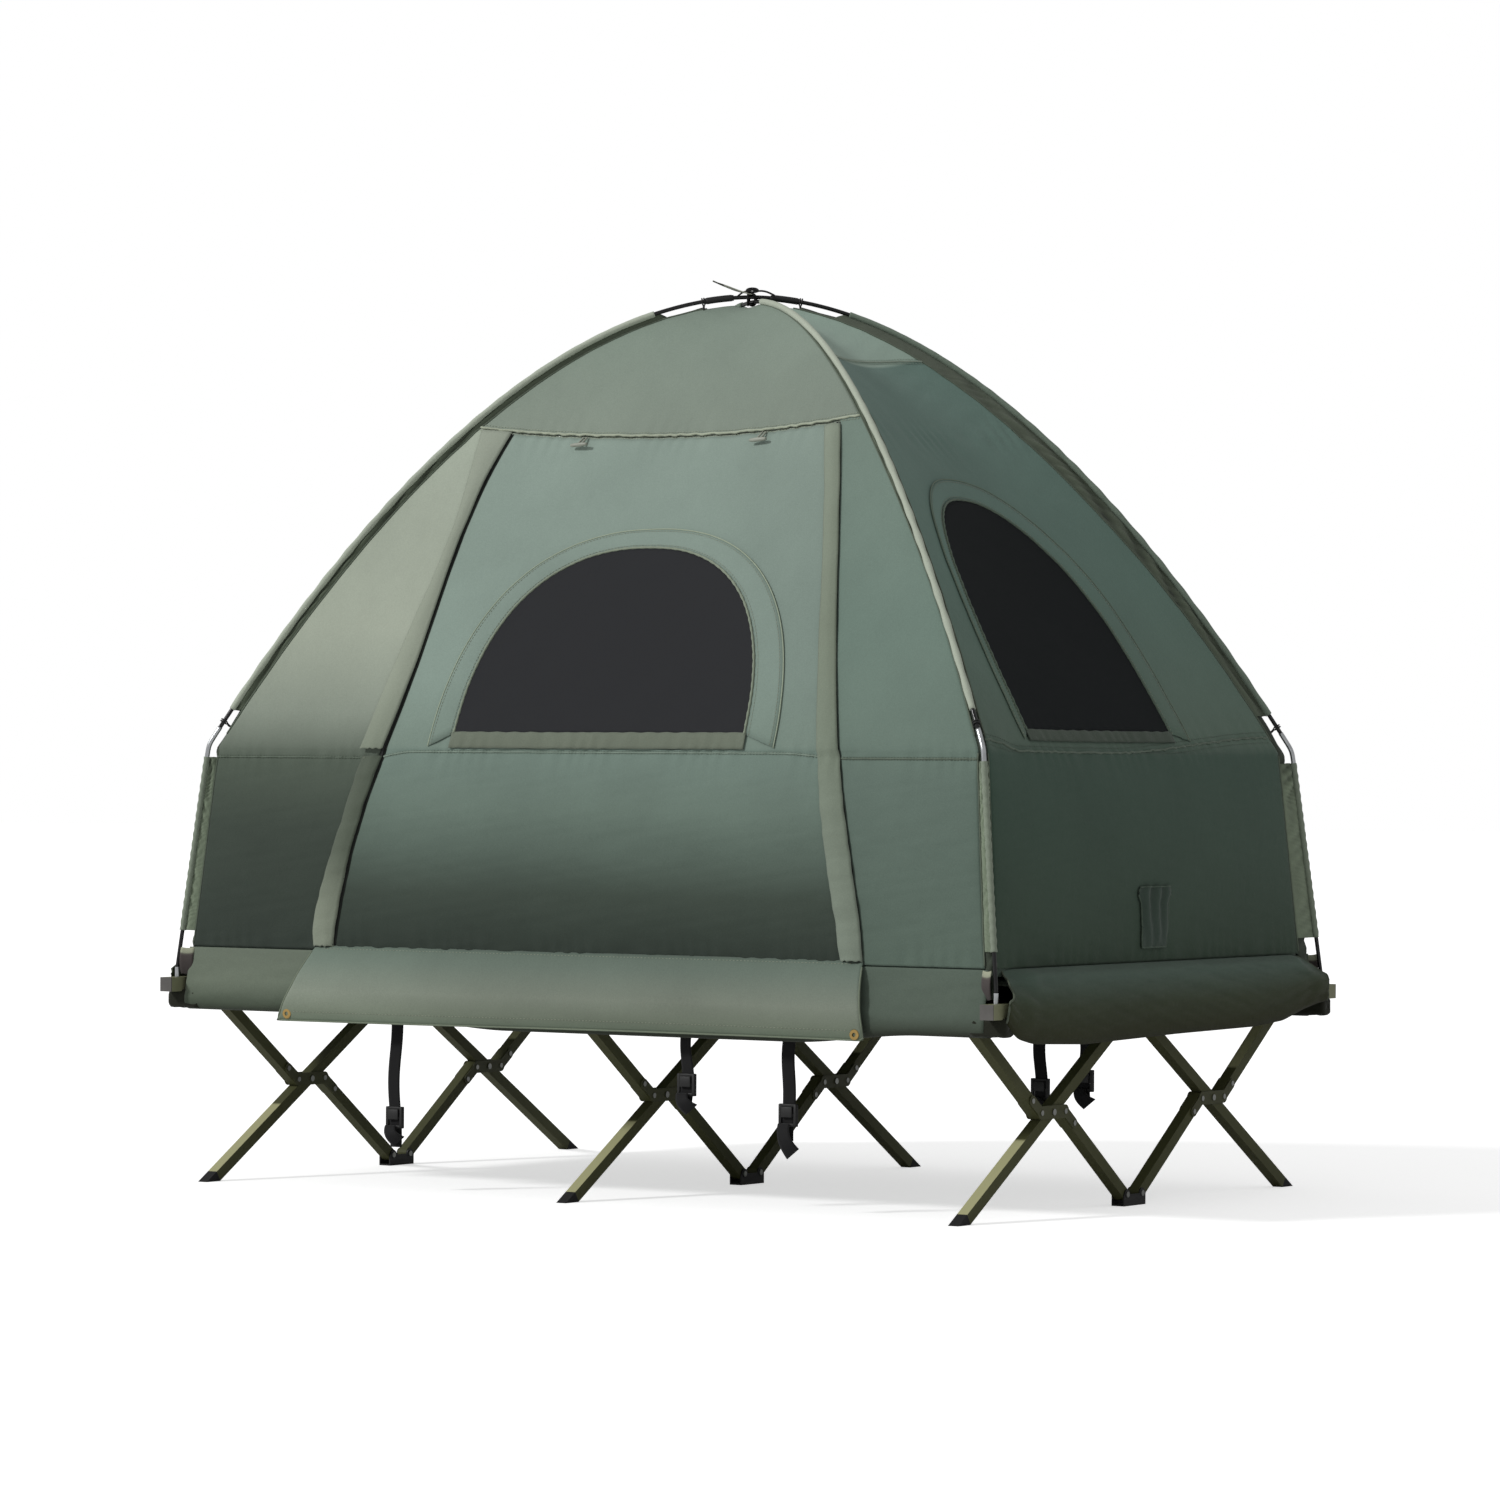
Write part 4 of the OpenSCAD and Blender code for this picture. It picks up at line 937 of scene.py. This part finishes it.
def wing(name, wall, sign, corner, t0, t1, flare):
    """A pleated strip of cloth between a wall's edge and its pole."""
    f, s = steps(int((t1 - t0) * 230), 11)
    t = t0 + (t1 - t0) * f
    edge = wall.at(wall.edge(t, sign) + 0.001 * sign, t, 0.0)
    pole = pole_point(corner, t, corner_drop(corner))
    toward = wall.place(0 * t, *wall.inward(t))
    rim = pole + toward * 0.004
    bow = np.sin(math.pi * s)
    pleat = (0.0030 * np.sin(t * 55 + s * 6 + 3.5 * np.sin(t * 17 + corner))
             + 0.0012 * np.sin(t * 210 - s * 9 + 4 * np.sin(t * 31)))
    pleat = pleat * np.where(t < 1, smooth(0.3, 0.6, t), 1 - 0.65 * smooth(1.1, 1.4, t))
    points = edge * (1 - s[..., None]) + rim * s[..., None] - toward * ((pleat + flare) * bow)[..., None]
    # Painted light and shade: the wing's dark base stands partly for shade under the sleeve, its pleats are
    # shaded and lit, and the lower wings are made about twice as bright
    light = (1 + 70 * pleat * (0.3 + bow)) * (1 + 1.1 * smooth(1.0, 1.2, t))
    colour = np.clip(linear(WING_RGB) * light[..., None], 0.01, 1)
    sheet(name, "canopy", "cloth_green", points, PLEAT, stacked(0.04 * s, t), colour, 0.0009)


def corner_strip(corner):
    """Cloth that closes the tent behind a pole and tucks in below the hem."""
    f, s = steps(260, 9)
    t = 0.1 + 2.04 * f
    walls = [(WALLS[side], sign) for side, sign in corner_sides(corner)]
    one, two = (wall.at(wall.edge(t, sign), t, -0.0015) for wall, sign in walls)
    pole = pole_point(corner, t, corner_drop(corner))
    middle = (one + two) / 2
    points = one * (1 - s[..., None]) + two * s[..., None]
    points = points + (pole - middle) * (0.30 * np.sin(math.pi * s))[..., None]
    folds = 0.0022 * np.sin(t * 60 + s * 7 + 2 * np.sin(t * 13)) * np.sin(math.pi * s)
    away = (pole - middle) / np.maximum(np.linalg.norm(pole - middle, axis=-1, keepdims=True), 1e-4)
    points = points - away * folds[..., None]
    # Painted shade and highlight in the folds
    colour = np.clip(linear((58, 66, 55)) * (1 + 110 * folds)[..., None], 0.01, 1)
    uv = stacked(0.05 * s, t)
    sheet(f"corner_strip_{corner}", "canopy", "cloth_green", points, PLEAT, uv, colour, 0.0009)


def poles():
    """Arches, elbows, cloth sleeves, wings, hem tabs and clips."""
    for name, corner in (("upper_arch", 0), ("lower_arch", 3)):
        dress(tube(f"{name}_pole", arch_path(corner), POLE_R, FIBRE, sides=16), "canopy", "pole", name)
    elbows()
    rings = []
    for corner in range(4):
        pole_cloth(corner)
        corner_strip(corner)
        corner_tab(corner)
        rings += corner_clip(corner, 0.972)
    for corner in (0, 2):
        rings += corner_clip(corner, 0.09)
    dress(merged("pole_clip_rings", rings, PLASTIC), "canopy", "plastic", "pole_clips")
    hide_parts("pole_wings")


def elbows():
    """The metal tubes that join each arch end to its lower pole."""
    parts = []
    for corner in range(4):
        t = np.concatenate([np.linspace(0.979, 0.990, 8), np.linspace(0.9905, 0.9999, 6)])
        high = pole_point(corner, t)
        low = pole_point(corner, np.linspace(1.0, 1.0 + 0.0425 / (ELBOW.z - HEM_Z), 12))
        path = resampled(eased(np.concatenate([high, low]), 14), 0.004)
        side = (DY * (1 if corner in (0, 1) else -1), -DX * (1 if corner in (0, 3) else -1), 0.0)
        parts.append(tube_mesh(path, 0.00475, sides=18, up=side))
    dress(merged("elbow_tubes", parts, SILVER), "canopy", "pole_metal", "pole_elbows")


def pole_cloth(corner):
    """The cloth round a corner's two poles and the wings from there to the walls."""
    on_upper_arch = corner in (0, 2)
    t = np.linspace(0.18 if on_upper_arch else 0.045, UPPER_END, 240)
    r = 0.0062 + 0.0006 * np.sin(t * 160 + corner) * smooth(0.3, 0.7, t)
    r = r + 0.0004 * ripple(t * 30, t, corner)
    # Painted light: the front sleeves are pale where the sun catches them, the back ones darker in shade
    sleeve_light = (176, 184, 168) if corner in (2, 3) else (120, 134, 120)
    path = pole_point(corner, t, corner_drop(corner))
    binding(f"pole_sleeve_{corner}", "canopy", path, r, sleeve_light, sides=12)
    t = np.linspace(*LOWER_POLE, 110)
    r = 0.0060 + 0.0006 * np.sin(t * 130 + corner)
    path = pole_point(corner, t)
    binding(f"lower_pole_sleeve_{corner}", "canopy", path, r, (132, 142, 126), sides=12)
    start = 0.17 if on_upper_arch else 0.09
    for side, sign in corner_sides(corner):
        wing(f"wing_{corner}_{side}", WALLS[side], sign, corner, start, UPPER_END, 0.001)
        wing(f"lower_wing_{corner}_{side}", WALLS[side], sign, corner, *LOWER_POLE, 0.003)


def corner_sides(corner):
    """The two walls that meet at a corner, each with the sign of u at that corner."""
    return (((RIGHT, 1), (BACK, -1)), ((BACK, 1), (LEFT, -1)),
            ((LEFT, 1), (FRONT, -1)), ((FRONT, 1), (RIGHT, -1)))[corner]


def corner_clip(corner, t):
    """A hook round the pole with a short tail to the cloth."""
    centre = pole_point(corner, np.array([t]), corner_drop(corner))[0]
    e = 0.01
    d = unit(pole_point(corner, np.array([t + e]))[0] - pole_point(corner, np.array([t - e]))[0])
    inward = unit(np.cross(np.cross(centre * (1, 1, 0), d), d))
    if inward[2] > 0:
        inward = -inward
    side = np.cross(d, inward)
    a = np.linspace(0, 2 * math.pi, 20, endpoint=False)
    ring = centre + 0.0062 * (np.cos(a)[:, None] * inward + np.sin(a)[:, None] * side)
    tail = [centre + inward * 0.0065, centre + inward * 0.014 + d * 0.002, centre + inward * 0.026]
    hook = [tube_mesh(ring + d * k, 0.0016, sides=7, closed=True, up=d) for k in (-0.002, 0.002)]
    return hook + [tube_mesh(resampled(tail, 0.003), 0.0023, sides=8, up=side)]


def corner_tab(corner):
    """A short webbing tab under the hem, looped over the pole's foot."""
    base = pole_point(corner, np.array([2.06]))[0]
    sx, sy = np.sign(base[0]), np.sign(base[1])
    k, s = steps(18, 7, -1.0)
    x = base[0] + sx * (-0.020 + 0.0125 * s)
    y = base[1] - sy * (0.004 - 0.006 * s) + sy * 0.005 * np.sin(math.pi * k)
    points = stacked(x, y, 0.459 - 0.052 * k + 0.002 * s ** 2)
    tint = tint_along(k + 0 * s, [(0, (170, 174, 150)), (0.2, (150, 154, 134)), (0.24, (76, 70, 68)),
                                  (1, (62, 57, 56))])
    uv = stacked(0.01 * s, 0.05 * k)
    sheet(f"corner_tab_{corner}", "canopy", "webbing", points, WEB, uv, tint, 0.0014)


def crown():
    """Black sleeves on the upper arch beside the crossing, the cord round it and a webbing tab."""
    t = np.linspace(0.034, 0.088, 24)
    r = np.full(24, 0.0066)
    r[[0, 1, -2, -1]] = 0.0058
    parts = [tube_mesh(pole_point(corner, t), r, sides=16) for corner in (0, 2)]
    dress(merged("crown_sleeves", parts, PLASTIC), "canopy", "plastic", "arch_crown_sleeve")
    along, across = np.array([DX, DY, 0.0]), np.array([-DY, DX, 0.0])
    crown_cord(APEX_Z * UP, along, across)
    crown_tab(APEX_Z * UP, along, across)


def crown_cord(top, along, across):
    """A bow of two loops and two tails over three wraps of cord."""
    knot = top + 0.010 * UP
    cords = []
    a = np.linspace(0.25, 2 * math.pi - 0.25, 40)[:, None]
    for sign, size, lean in ((1, 0.017, 0.6), (-1, 0.013, 0.2)):
        reach = size * (1 - np.cos(a))
        loop = knot + sign * across * reach + 0.011 * along * np.sin(a) + 0.5 * lean * UP * reach
        cords.append(tube_mesh(loop, 0.0021, sides=8))
    k = np.linspace(0, 1, 16)[:, None]
    for sign, reach in ((1, 0.045), (-1, 0.03)):
        tail = knot + sign * (reach * along - 0.016 * across) * k + UP * (0.006 * np.sin(k * 3) - 0.009 * k)
        cords.append(tube_mesh(tail, 0.0019, sides=8))
    a = np.linspace(0, 2 * math.pi, 26, endpoint=False)[:, None]
    for direction, shift in ((along, -0.008), (across, 0.008), (unit(along + across), 0.0)):
        side = np.cross(direction, UP)
        wrap = top + direction * shift + 0.0085 * side * np.cos(a) + UP * (0.0115 * np.sin(a) - 0.0045)
        cords.append(tube_mesh(wrap, 0.0023, sides=8, closed=True, up=direction))
    dress(merged("crown_cord", cords, WEB, (16, 16, 16)), "canopy", "webbing", "crown_ties")


def crown_tab(top, along, across):
    """A pale webbing tab that stands up from the crossing, its end dark, with four rows of thread."""
    k, s = steps(30, 7, -1.0)
    rise = 0.006 + 0.026 * k ** 1.3 + 0.0012 * np.sin(s * 2 + k * 6)
    tab = top - 0.078 * along * k[..., None] + 0.009 * across * s[..., None] + UP * rise[..., None]
    tint = np.where((k + 0 * s > 0.72)[..., None], linear((70, 74, 64)), linear((176, 178, 164)))
    sheet("crown_tab", "canopy", "webbing", tab, WEB, stacked(0.01 * s, 0.08 * k), tint, 0.0016)
    rows = [tab[i, 1:-1] + 0.0012 * UP for i in (22, 24, 26, 28)]
    sew("crown_tab", "canopy", rows, 0.003, (190, 190, 176), "webbing", 0.002)


# ---------------------------------------------------------------- bed cloth
def bolster(sign, tag):
    """The bed cloth's rolled end: over the end bar, down its face and sagging beneath."""
    face_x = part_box("end_bolsters")[1].x
    q, k = steps(50, 190, -1.0)
    keys_q = [0, 0.10, 0.22, 0.36, 0.52, 0.72, 0.90, 1.0]
    keys_x = [BAR_X - 0.026, BAR_X - 0.004, BAR_X + 0.018, face_x - 0.004, face_x + 0.001, face_x - 0.001,
              face_x - 0.002, face_x - 0.006]
    keys_f = [0, -0.01, 0.06, 0.22, 0.42, 0.70, 0.93, 1.0]
    x = eased(np.interp(q, keys_q, keys_x), 3)
    f = eased(np.interp(q, keys_q, keys_f), 3)
    near = np.interp(f, [0, 0.35, 0.60], [0.566, 0.586, 0.612])
    far = np.interp(f, [0, 0.30, 0.50], [0.540, 0.574, 0.598])
    y = k * np.where(k * sign < 0, near, far)
    end = np.abs(k)
    low = np.interp(y * sign, [-0.612, -0.60, -0.575, -0.52, -0.34, 0.0, 0.30, 0.42, 0.50, 0.56, 0.60],
                    [0.368, 0.356, 0.338, 0.327, 0.320, 0.327, 0.330, 0.338, 0.357, 0.367, 0.371])
    low = eased(low.T, 4).T
    top_z = HEM_Z - 0.004
    body_puff = np.sin(math.pi * q)
    folds = 0.0030 * ripple(y * 5, q * 4, 61) + 0.0020 * ripple(y * 11, q * 13, 62)
    gather = 0.0018 * np.sin(y * 75 + 3 * np.sin(q * 7)) * smooth(0.72, 0.95, end)
    straight = BAR_X - 0.026 + (face_x - BAR_X + 0.026) * np.clip(f / 0.42, 0, 1)
    pulled = 0.8 * smooth(0.88, 1.0, end) * smooth(0.46, 0.36, f)
    x = x * (1 - pulled) + straight * pulled
    x = x + (folds + gather) * body_puff + 0.004 * body_puff * (1 - end ** 4)
    z = top_z + (low - top_z) * f + 0.002 * ripple(y * 7, q * 3, 64) * body_puff
    points = stacked(sign * x, y, z)
    # Painted light and shade: the roll darkens toward its underside, and its folds and gathers are shaded
    # and lit
    tint = tint_along(q + 0 * y, BOLSTER) * (1 + 14 * (folds + gather))[..., None]
    nodes = ["end_bolsters"] if sign > 0 else []
    name = f"{tag}_bolster"
    sheet(name, "end_bars", "cloth_green", points, CLOTH, stacked(y, q * 0.2), tint, 0.0014, nodes)
    for number, column in ((0, 0), (1, -1)):
        path = resampled(points[2:, column], 0.006)
        binding(f"{name}_edge_{number}", "end_bars", path, 0.0020, (84, 92, 78), "cloth_green")


def rail_socks(sign, tag):
    """Cloth pulled over both ends of a side rail."""
    height = (RAIL_LOW + RAIL_TOP) / 2
    middle = sign * (RAIL_OUT - 0.014)
    a = np.linspace(0, 2 * math.pi, 49)[None, :]
    along = np.array([0.895, 0.905, 0.920, 0.935, 0.950, 0.960, 0.9665, 0.9695, 0.9700, 0.9700])[:, None]
    size = np.array([1.0, 1.02, 1.0, 1.03, 1.0, 1.02, 0.98, 0.85, 0.5, 0.02])[:, None] * 0.0172
    size = size * (1 + 0.03 * np.sin(a * 5 + along * 160))
    y, z = (size * np.sign(c) * np.abs(c) ** 0.4 for c in (np.cos(a), np.sin(a)))
    uv = stacked(along, a * 0.02)
    for number, end in ((2, -1), (1, 1)):
        points = stacked(end * along, middle + y, height + z)
        name = f"{tag}_rail_sock_{number}"
        # The socks are near black: the cloth's dark olive with painted shade, as they lie under the bolster
        sheet(name, f"{tag}_rail", "cloth_khaki", points, CLOTH, uv, (30, 32, 21), 0.0010)


def rail_sleeve(sign, tag):
    """Cloth that wraps a side rail and rises to the hem of the wall above it."""
    x_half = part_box("front_rail_sleeve")[1].x
    q, x = steps(34, 240, -1.0)
    x = x_half * x
    keys_q = [0, 0.28, 0.55, 0.72, 0.86, 1.0]
    keys_out = [HEM_OUT + 0.001, RAIL_OUT - 0.006, RAIL_OUT + 0.004, RAIL_OUT + 0.0045, RAIL_OUT - 0.006,
                RAIL_OUT - 0.024]
    keys_z = [HEM_Z - 0.003, HEM_Z - 0.045, RAIL_TOP - 0.004, RAIL_LOW + 0.004, RAIL_LOW - 0.006,
              RAIL_LOW - 0.005]
    out = eased(np.interp(q, keys_q, keys_out), 4)
    z = eased(np.interp(q, keys_q, keys_z), 4)
    folds = 0.0015 * ripple(x * 6, q * 5, 71) + 0.0010 * ripple(x * 22, q * 12, 72)
    out = out + folds * np.sin(math.pi * np.clip(q * 1.15, 0, 1))
    droop = 0.020 * smooth(-0.45, -0.15, -sign * x) * smooth(0.78, 0.50, -sign * x)
    z = z - droop * smooth(0.62, 0.85, q)
    points = stacked(x, sign * out, z)
    if sign > 0:
        points = points[:, ::-1]
    where = points[..., 0]
    # Painted light and shade: the cloth is paler at its left end, darker toward the underside of the rail,
    # and shaded and lit in its folds
    mix = smooth(-0.4, 0.4, -sign * where)[..., None]
    left, right = tint_along(q, RAIL_CLOTH_LEFT), tint_along(q, RAIL_CLOTH_RIGHT)
    tint = (left * (1 - mix) + right * mix) * (1 + 16 * folds)[..., None]
    sheet(f"{tag}_rail_cloth", f"{tag}_rail", "cloth_khaki", points, CLOTH, stacked(where, q * 0.16), tint,
          0.0013, [f"{tag}_rail_sleeve"])


def bed():
    """The bed's cloth, stretched between the rails and sewn into two lanes."""
    low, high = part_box("bed_sheet")
    y = np.linspace(low.y, high.y, 60)[:, None]
    x = np.linspace(low.x, high.x, 90)[None, :]
    lane = np.abs(np.sin(math.pi * y / high.y))
    z = high.z - 0.001 + 0.0012 * ripple(x * 3, y * 4, 81) - 0.0012 * lane
    obj = sheet("bed_cloth", "centre_rail", "cloth_green", stacked(x, y, z), CLOTH, stacked(x, y),
                (64, 78, 68), 0.0016, ["bed_sheet"])
    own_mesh(obj)


# ---------------------------------------------------------------- straps
def strap(name, body, x, y, top_z, low_z, sway, tail, turn):
    """A hanging webbing strap with a cam buckle and a loose folded tail."""
    half = 0.0135
    k, s = steps(60, 7, -1.0)
    z = top_z + (low_z - top_z) * k
    bend = sway * np.sin(k * 2.4) + 0.003 * np.sin(k * 9 + x * 30)
    twist = turn * np.sin(k * 4 + x * 13)
    points = stacked(x + half * s * np.cos(twist) + bend, y + half * s * np.sin(twist) * 0.5, z)
    sheet(name, body, "webbing", points, WEB, stacked(half * s, top_z - z), (20, 20, 21), 0.0018)
    at = 0.80
    centre = np.array([x + sway * math.sin(at * 2.4), y, top_z + (low_z - top_z) * at])
    cam_buckle(name + "_buckle", body, centre)
    k, s = steps(40, 7, -1.0)
    x, y, z = centre - (0.006, 0.006, 0.016)
    points = stacked(x + 0.95 * half * s + 0.022 * k ** 1.5, y - 0.010 * np.sin(k * 3),
                     z - tail * k + 0.01 * k * s)
    uv = stacked(half * s, tail * k)
    sheet(name + "_tail", body, "webbing", points, WEB, uv, (24, 24, 25), 0.0018)


def cam_buckle(name, body, centre):
    """A frame of two uprights and three bars with a cam in front."""
    parts = [box_mesh(centre + [dx, 0, 0], (0.003, 0.0045, 0.021)) for dx in (-0.0165, 0.0165)]
    parts += [box_mesh(centre + [0, 0, dz], (0.0165, 0.004, 0.003)) for dz in (-0.018, 0.0, 0.018)]
    parts.append(box_mesh(centre + [0, -0.005, 0.006], (0.012, 0.0025, 0.010)))
    buckle = merged(name, parts, PLASTIC)
    bevel = buckle.modifiers.new("edges", "BEVEL")
    bevel.width = 0.0012
    bevel.segments = 2
    dress(buckle, body, "plastic")


def straps():
    """Three straps from the front rail and two from the centre rail."""
    front_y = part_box("front_bed_straps")[0].y + 0.001
    centre_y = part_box("centre_bed_straps")[0].y + 0.001
    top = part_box("front_bed_straps")[1].z
    for name, body, x, y, low, sway, tail, turn in (
            ("front_strap_a", "front_rail", -0.428, front_y, 0.085, -0.004, 0.030, 0.06),
            ("front_strap_b", "front_rail", 0.250, front_y, 0.195, 0.003, 0.030, 0.30),
            ("front_strap_c", "front_rail", 0.488, front_y, 0.135, -0.008, 0.055, 0.30),
            ("centre_strap_a", "centre_rail", 0.660, centre_y, 0.170, 0.002, 0.020, 0.05),
            ("centre_strap_b", "centre_rail", 0.754, centre_y, 0.195, 0.006, 0.028, 0.35)):
        strap(name, body, x, y, top, low, sway, tail, turn)
    for rail in ("front", "centre"):
        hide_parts(f"{rail}_bed_straps")
        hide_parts(f"{rail}_strap_buckles")


# ---------------------------------------------------------------- CAD nodes
CAD_FINISH = {
    "fastener": ZINC, "plastic": PLASTIC, "foot_rubber": RUBBER, "bracket_metal": BRACKET_METAL,
    "bar_metal": BAR_METAL, "frame_metal": FRAME_METAL, "pole": FIBRE, "pole_metal": SILVER, "brass": BRASS,
}


def finish_cad():
    """Every CAD node that stays gets its material and softened edges."""
    slots = {s["node"]: s["material_slot"] for s in frame["record"]["subparts"]}
    for name, obj in frame["nodes"].items():
        material = CAD_FINISH.get(slots[name])
        if obj.hide_render or material is None:
            continue
        obj.data.materials.clear()
        obj.data.materials.append(PLUG if name == "end_bar_plugs" else material)
        bevel = obj.modifiers.new("soft_edges", "BEVEL")
        bevel.width = 0.0016 if "leg" in name or "rail" in name or "bar" in name else 0.0006
        bevel.segments = 2
        bevel.limit_method = "ANGLE"
        bevel.angle_limit = math.radians(40)


# ---------------------------------------------------------------- stage
SUN, SKY, FLOOR_GLOW = 1.7, 0.42, 0.60
SUN_FROM = (-0.62, -0.85, 0.72)
LENS = 137.99  # mm, on a sensor 36 mm wide
CAMERA_AT = (6.338, -9.430, 0.8374)
CAMERA_TURN = (33.90, 0.0995, 0.338)  # yaw, pitch and roll in degrees


def camera_only(tree, strength):
    """A value that only rays straight from the camera see."""
    ray = node(tree, "ShaderNodeLightPath").outputs["Is Camera Ray"]
    return maths(tree, "MULTIPLY", ray, strength)


def stage():
    """A pale floor, an even white sky and one soft sun."""
    bpy.ops.mesh.primitive_circle_add(vertices=96, radius=60, fill_type="NGON", location=(0, 0, 0))
    floor = bpy.context.object
    floor.name = "floor"
    mat, tree, shader = new_material("pale_floor", Base_Color=(0.80, 0.80, 0.80, 1), Roughness=0.9,
                                     Emission_Color=(1, 1, 1, 1))
    feed(tree, shader.inputs["Emission Strength"], camera_only(tree, FLOOR_GLOW))
    floor.data.materials.append(mat)
    world = bpy.data.worlds.new("studio")
    bpy.context.scene.world = world
    world.use_nodes = True
    sky = world.node_tree
    sky.nodes["Background"].inputs[0].default_value = (1, 1, 1, 1)
    level = maths(sky, "ADD", camera_only(sky, 1.0 - SKY), SKY)
    sky.links.new(level, sky.nodes["Background"].inputs[1])
    sun = bpy.data.lights.new("key", "SUN")
    sun.energy = SUN
    sun.angle = math.radians(8)
    key = bpy.data.objects.new("key", sun)
    bpy.context.scene.collection.objects.link(key)
    key.rotation_mode = "QUATERNION"
    key.rotation_quaternion = Vector(SUN_FROM).to_track_quat("Z", "Y")


def camera():
    """The photograph's view: long lens, low, from the front right."""
    data = bpy.data.cameras.new("view")
    data.sensor_width = 36
    data.lens = LENS
    data.clip_end = 200
    obj = bpy.data.objects.new("view", data)
    bpy.context.scene.collection.objects.link(obj)
    yaw, pitch, roll = (math.radians(a) for a in CAMERA_TURN)
    forward = Vector((-math.sin(yaw) * math.cos(pitch), math.cos(yaw) * math.cos(pitch), math.sin(pitch)))
    right = forward.cross(Vector((0, 0, 1))).normalized()
    up = right.cross(forward)
    right, up = right * math.cos(roll) + up * math.sin(roll), up * math.cos(roll) - right * math.sin(roll)
    turn = Matrix((right, up, -forward)).transposed().to_4x4()
    obj.matrix_world = Matrix.Translation(CAMERA_AT) @ turn
    bpy.context.scene.camera = obj


door_wall(FRONT, "front")
door_wall(BACK, "back")
door(FRONT, "front_door", "front")
door(BACK, "back_door", "back")
end_wall(RIGHT, "right")
end_wall(LEFT, "left")
poles()
crown()
bolster(1, "right")
bolster(-1, "left")
rail_sleeve(-1, "front")
rail_sleeve(1, "back")
rail_socks(-1, "front")
rail_socks(1, "back")
bed()
straps()
finish_cad()
stage()
camera()
bpy.context.scene.view_settings.view_transform = "Standard"
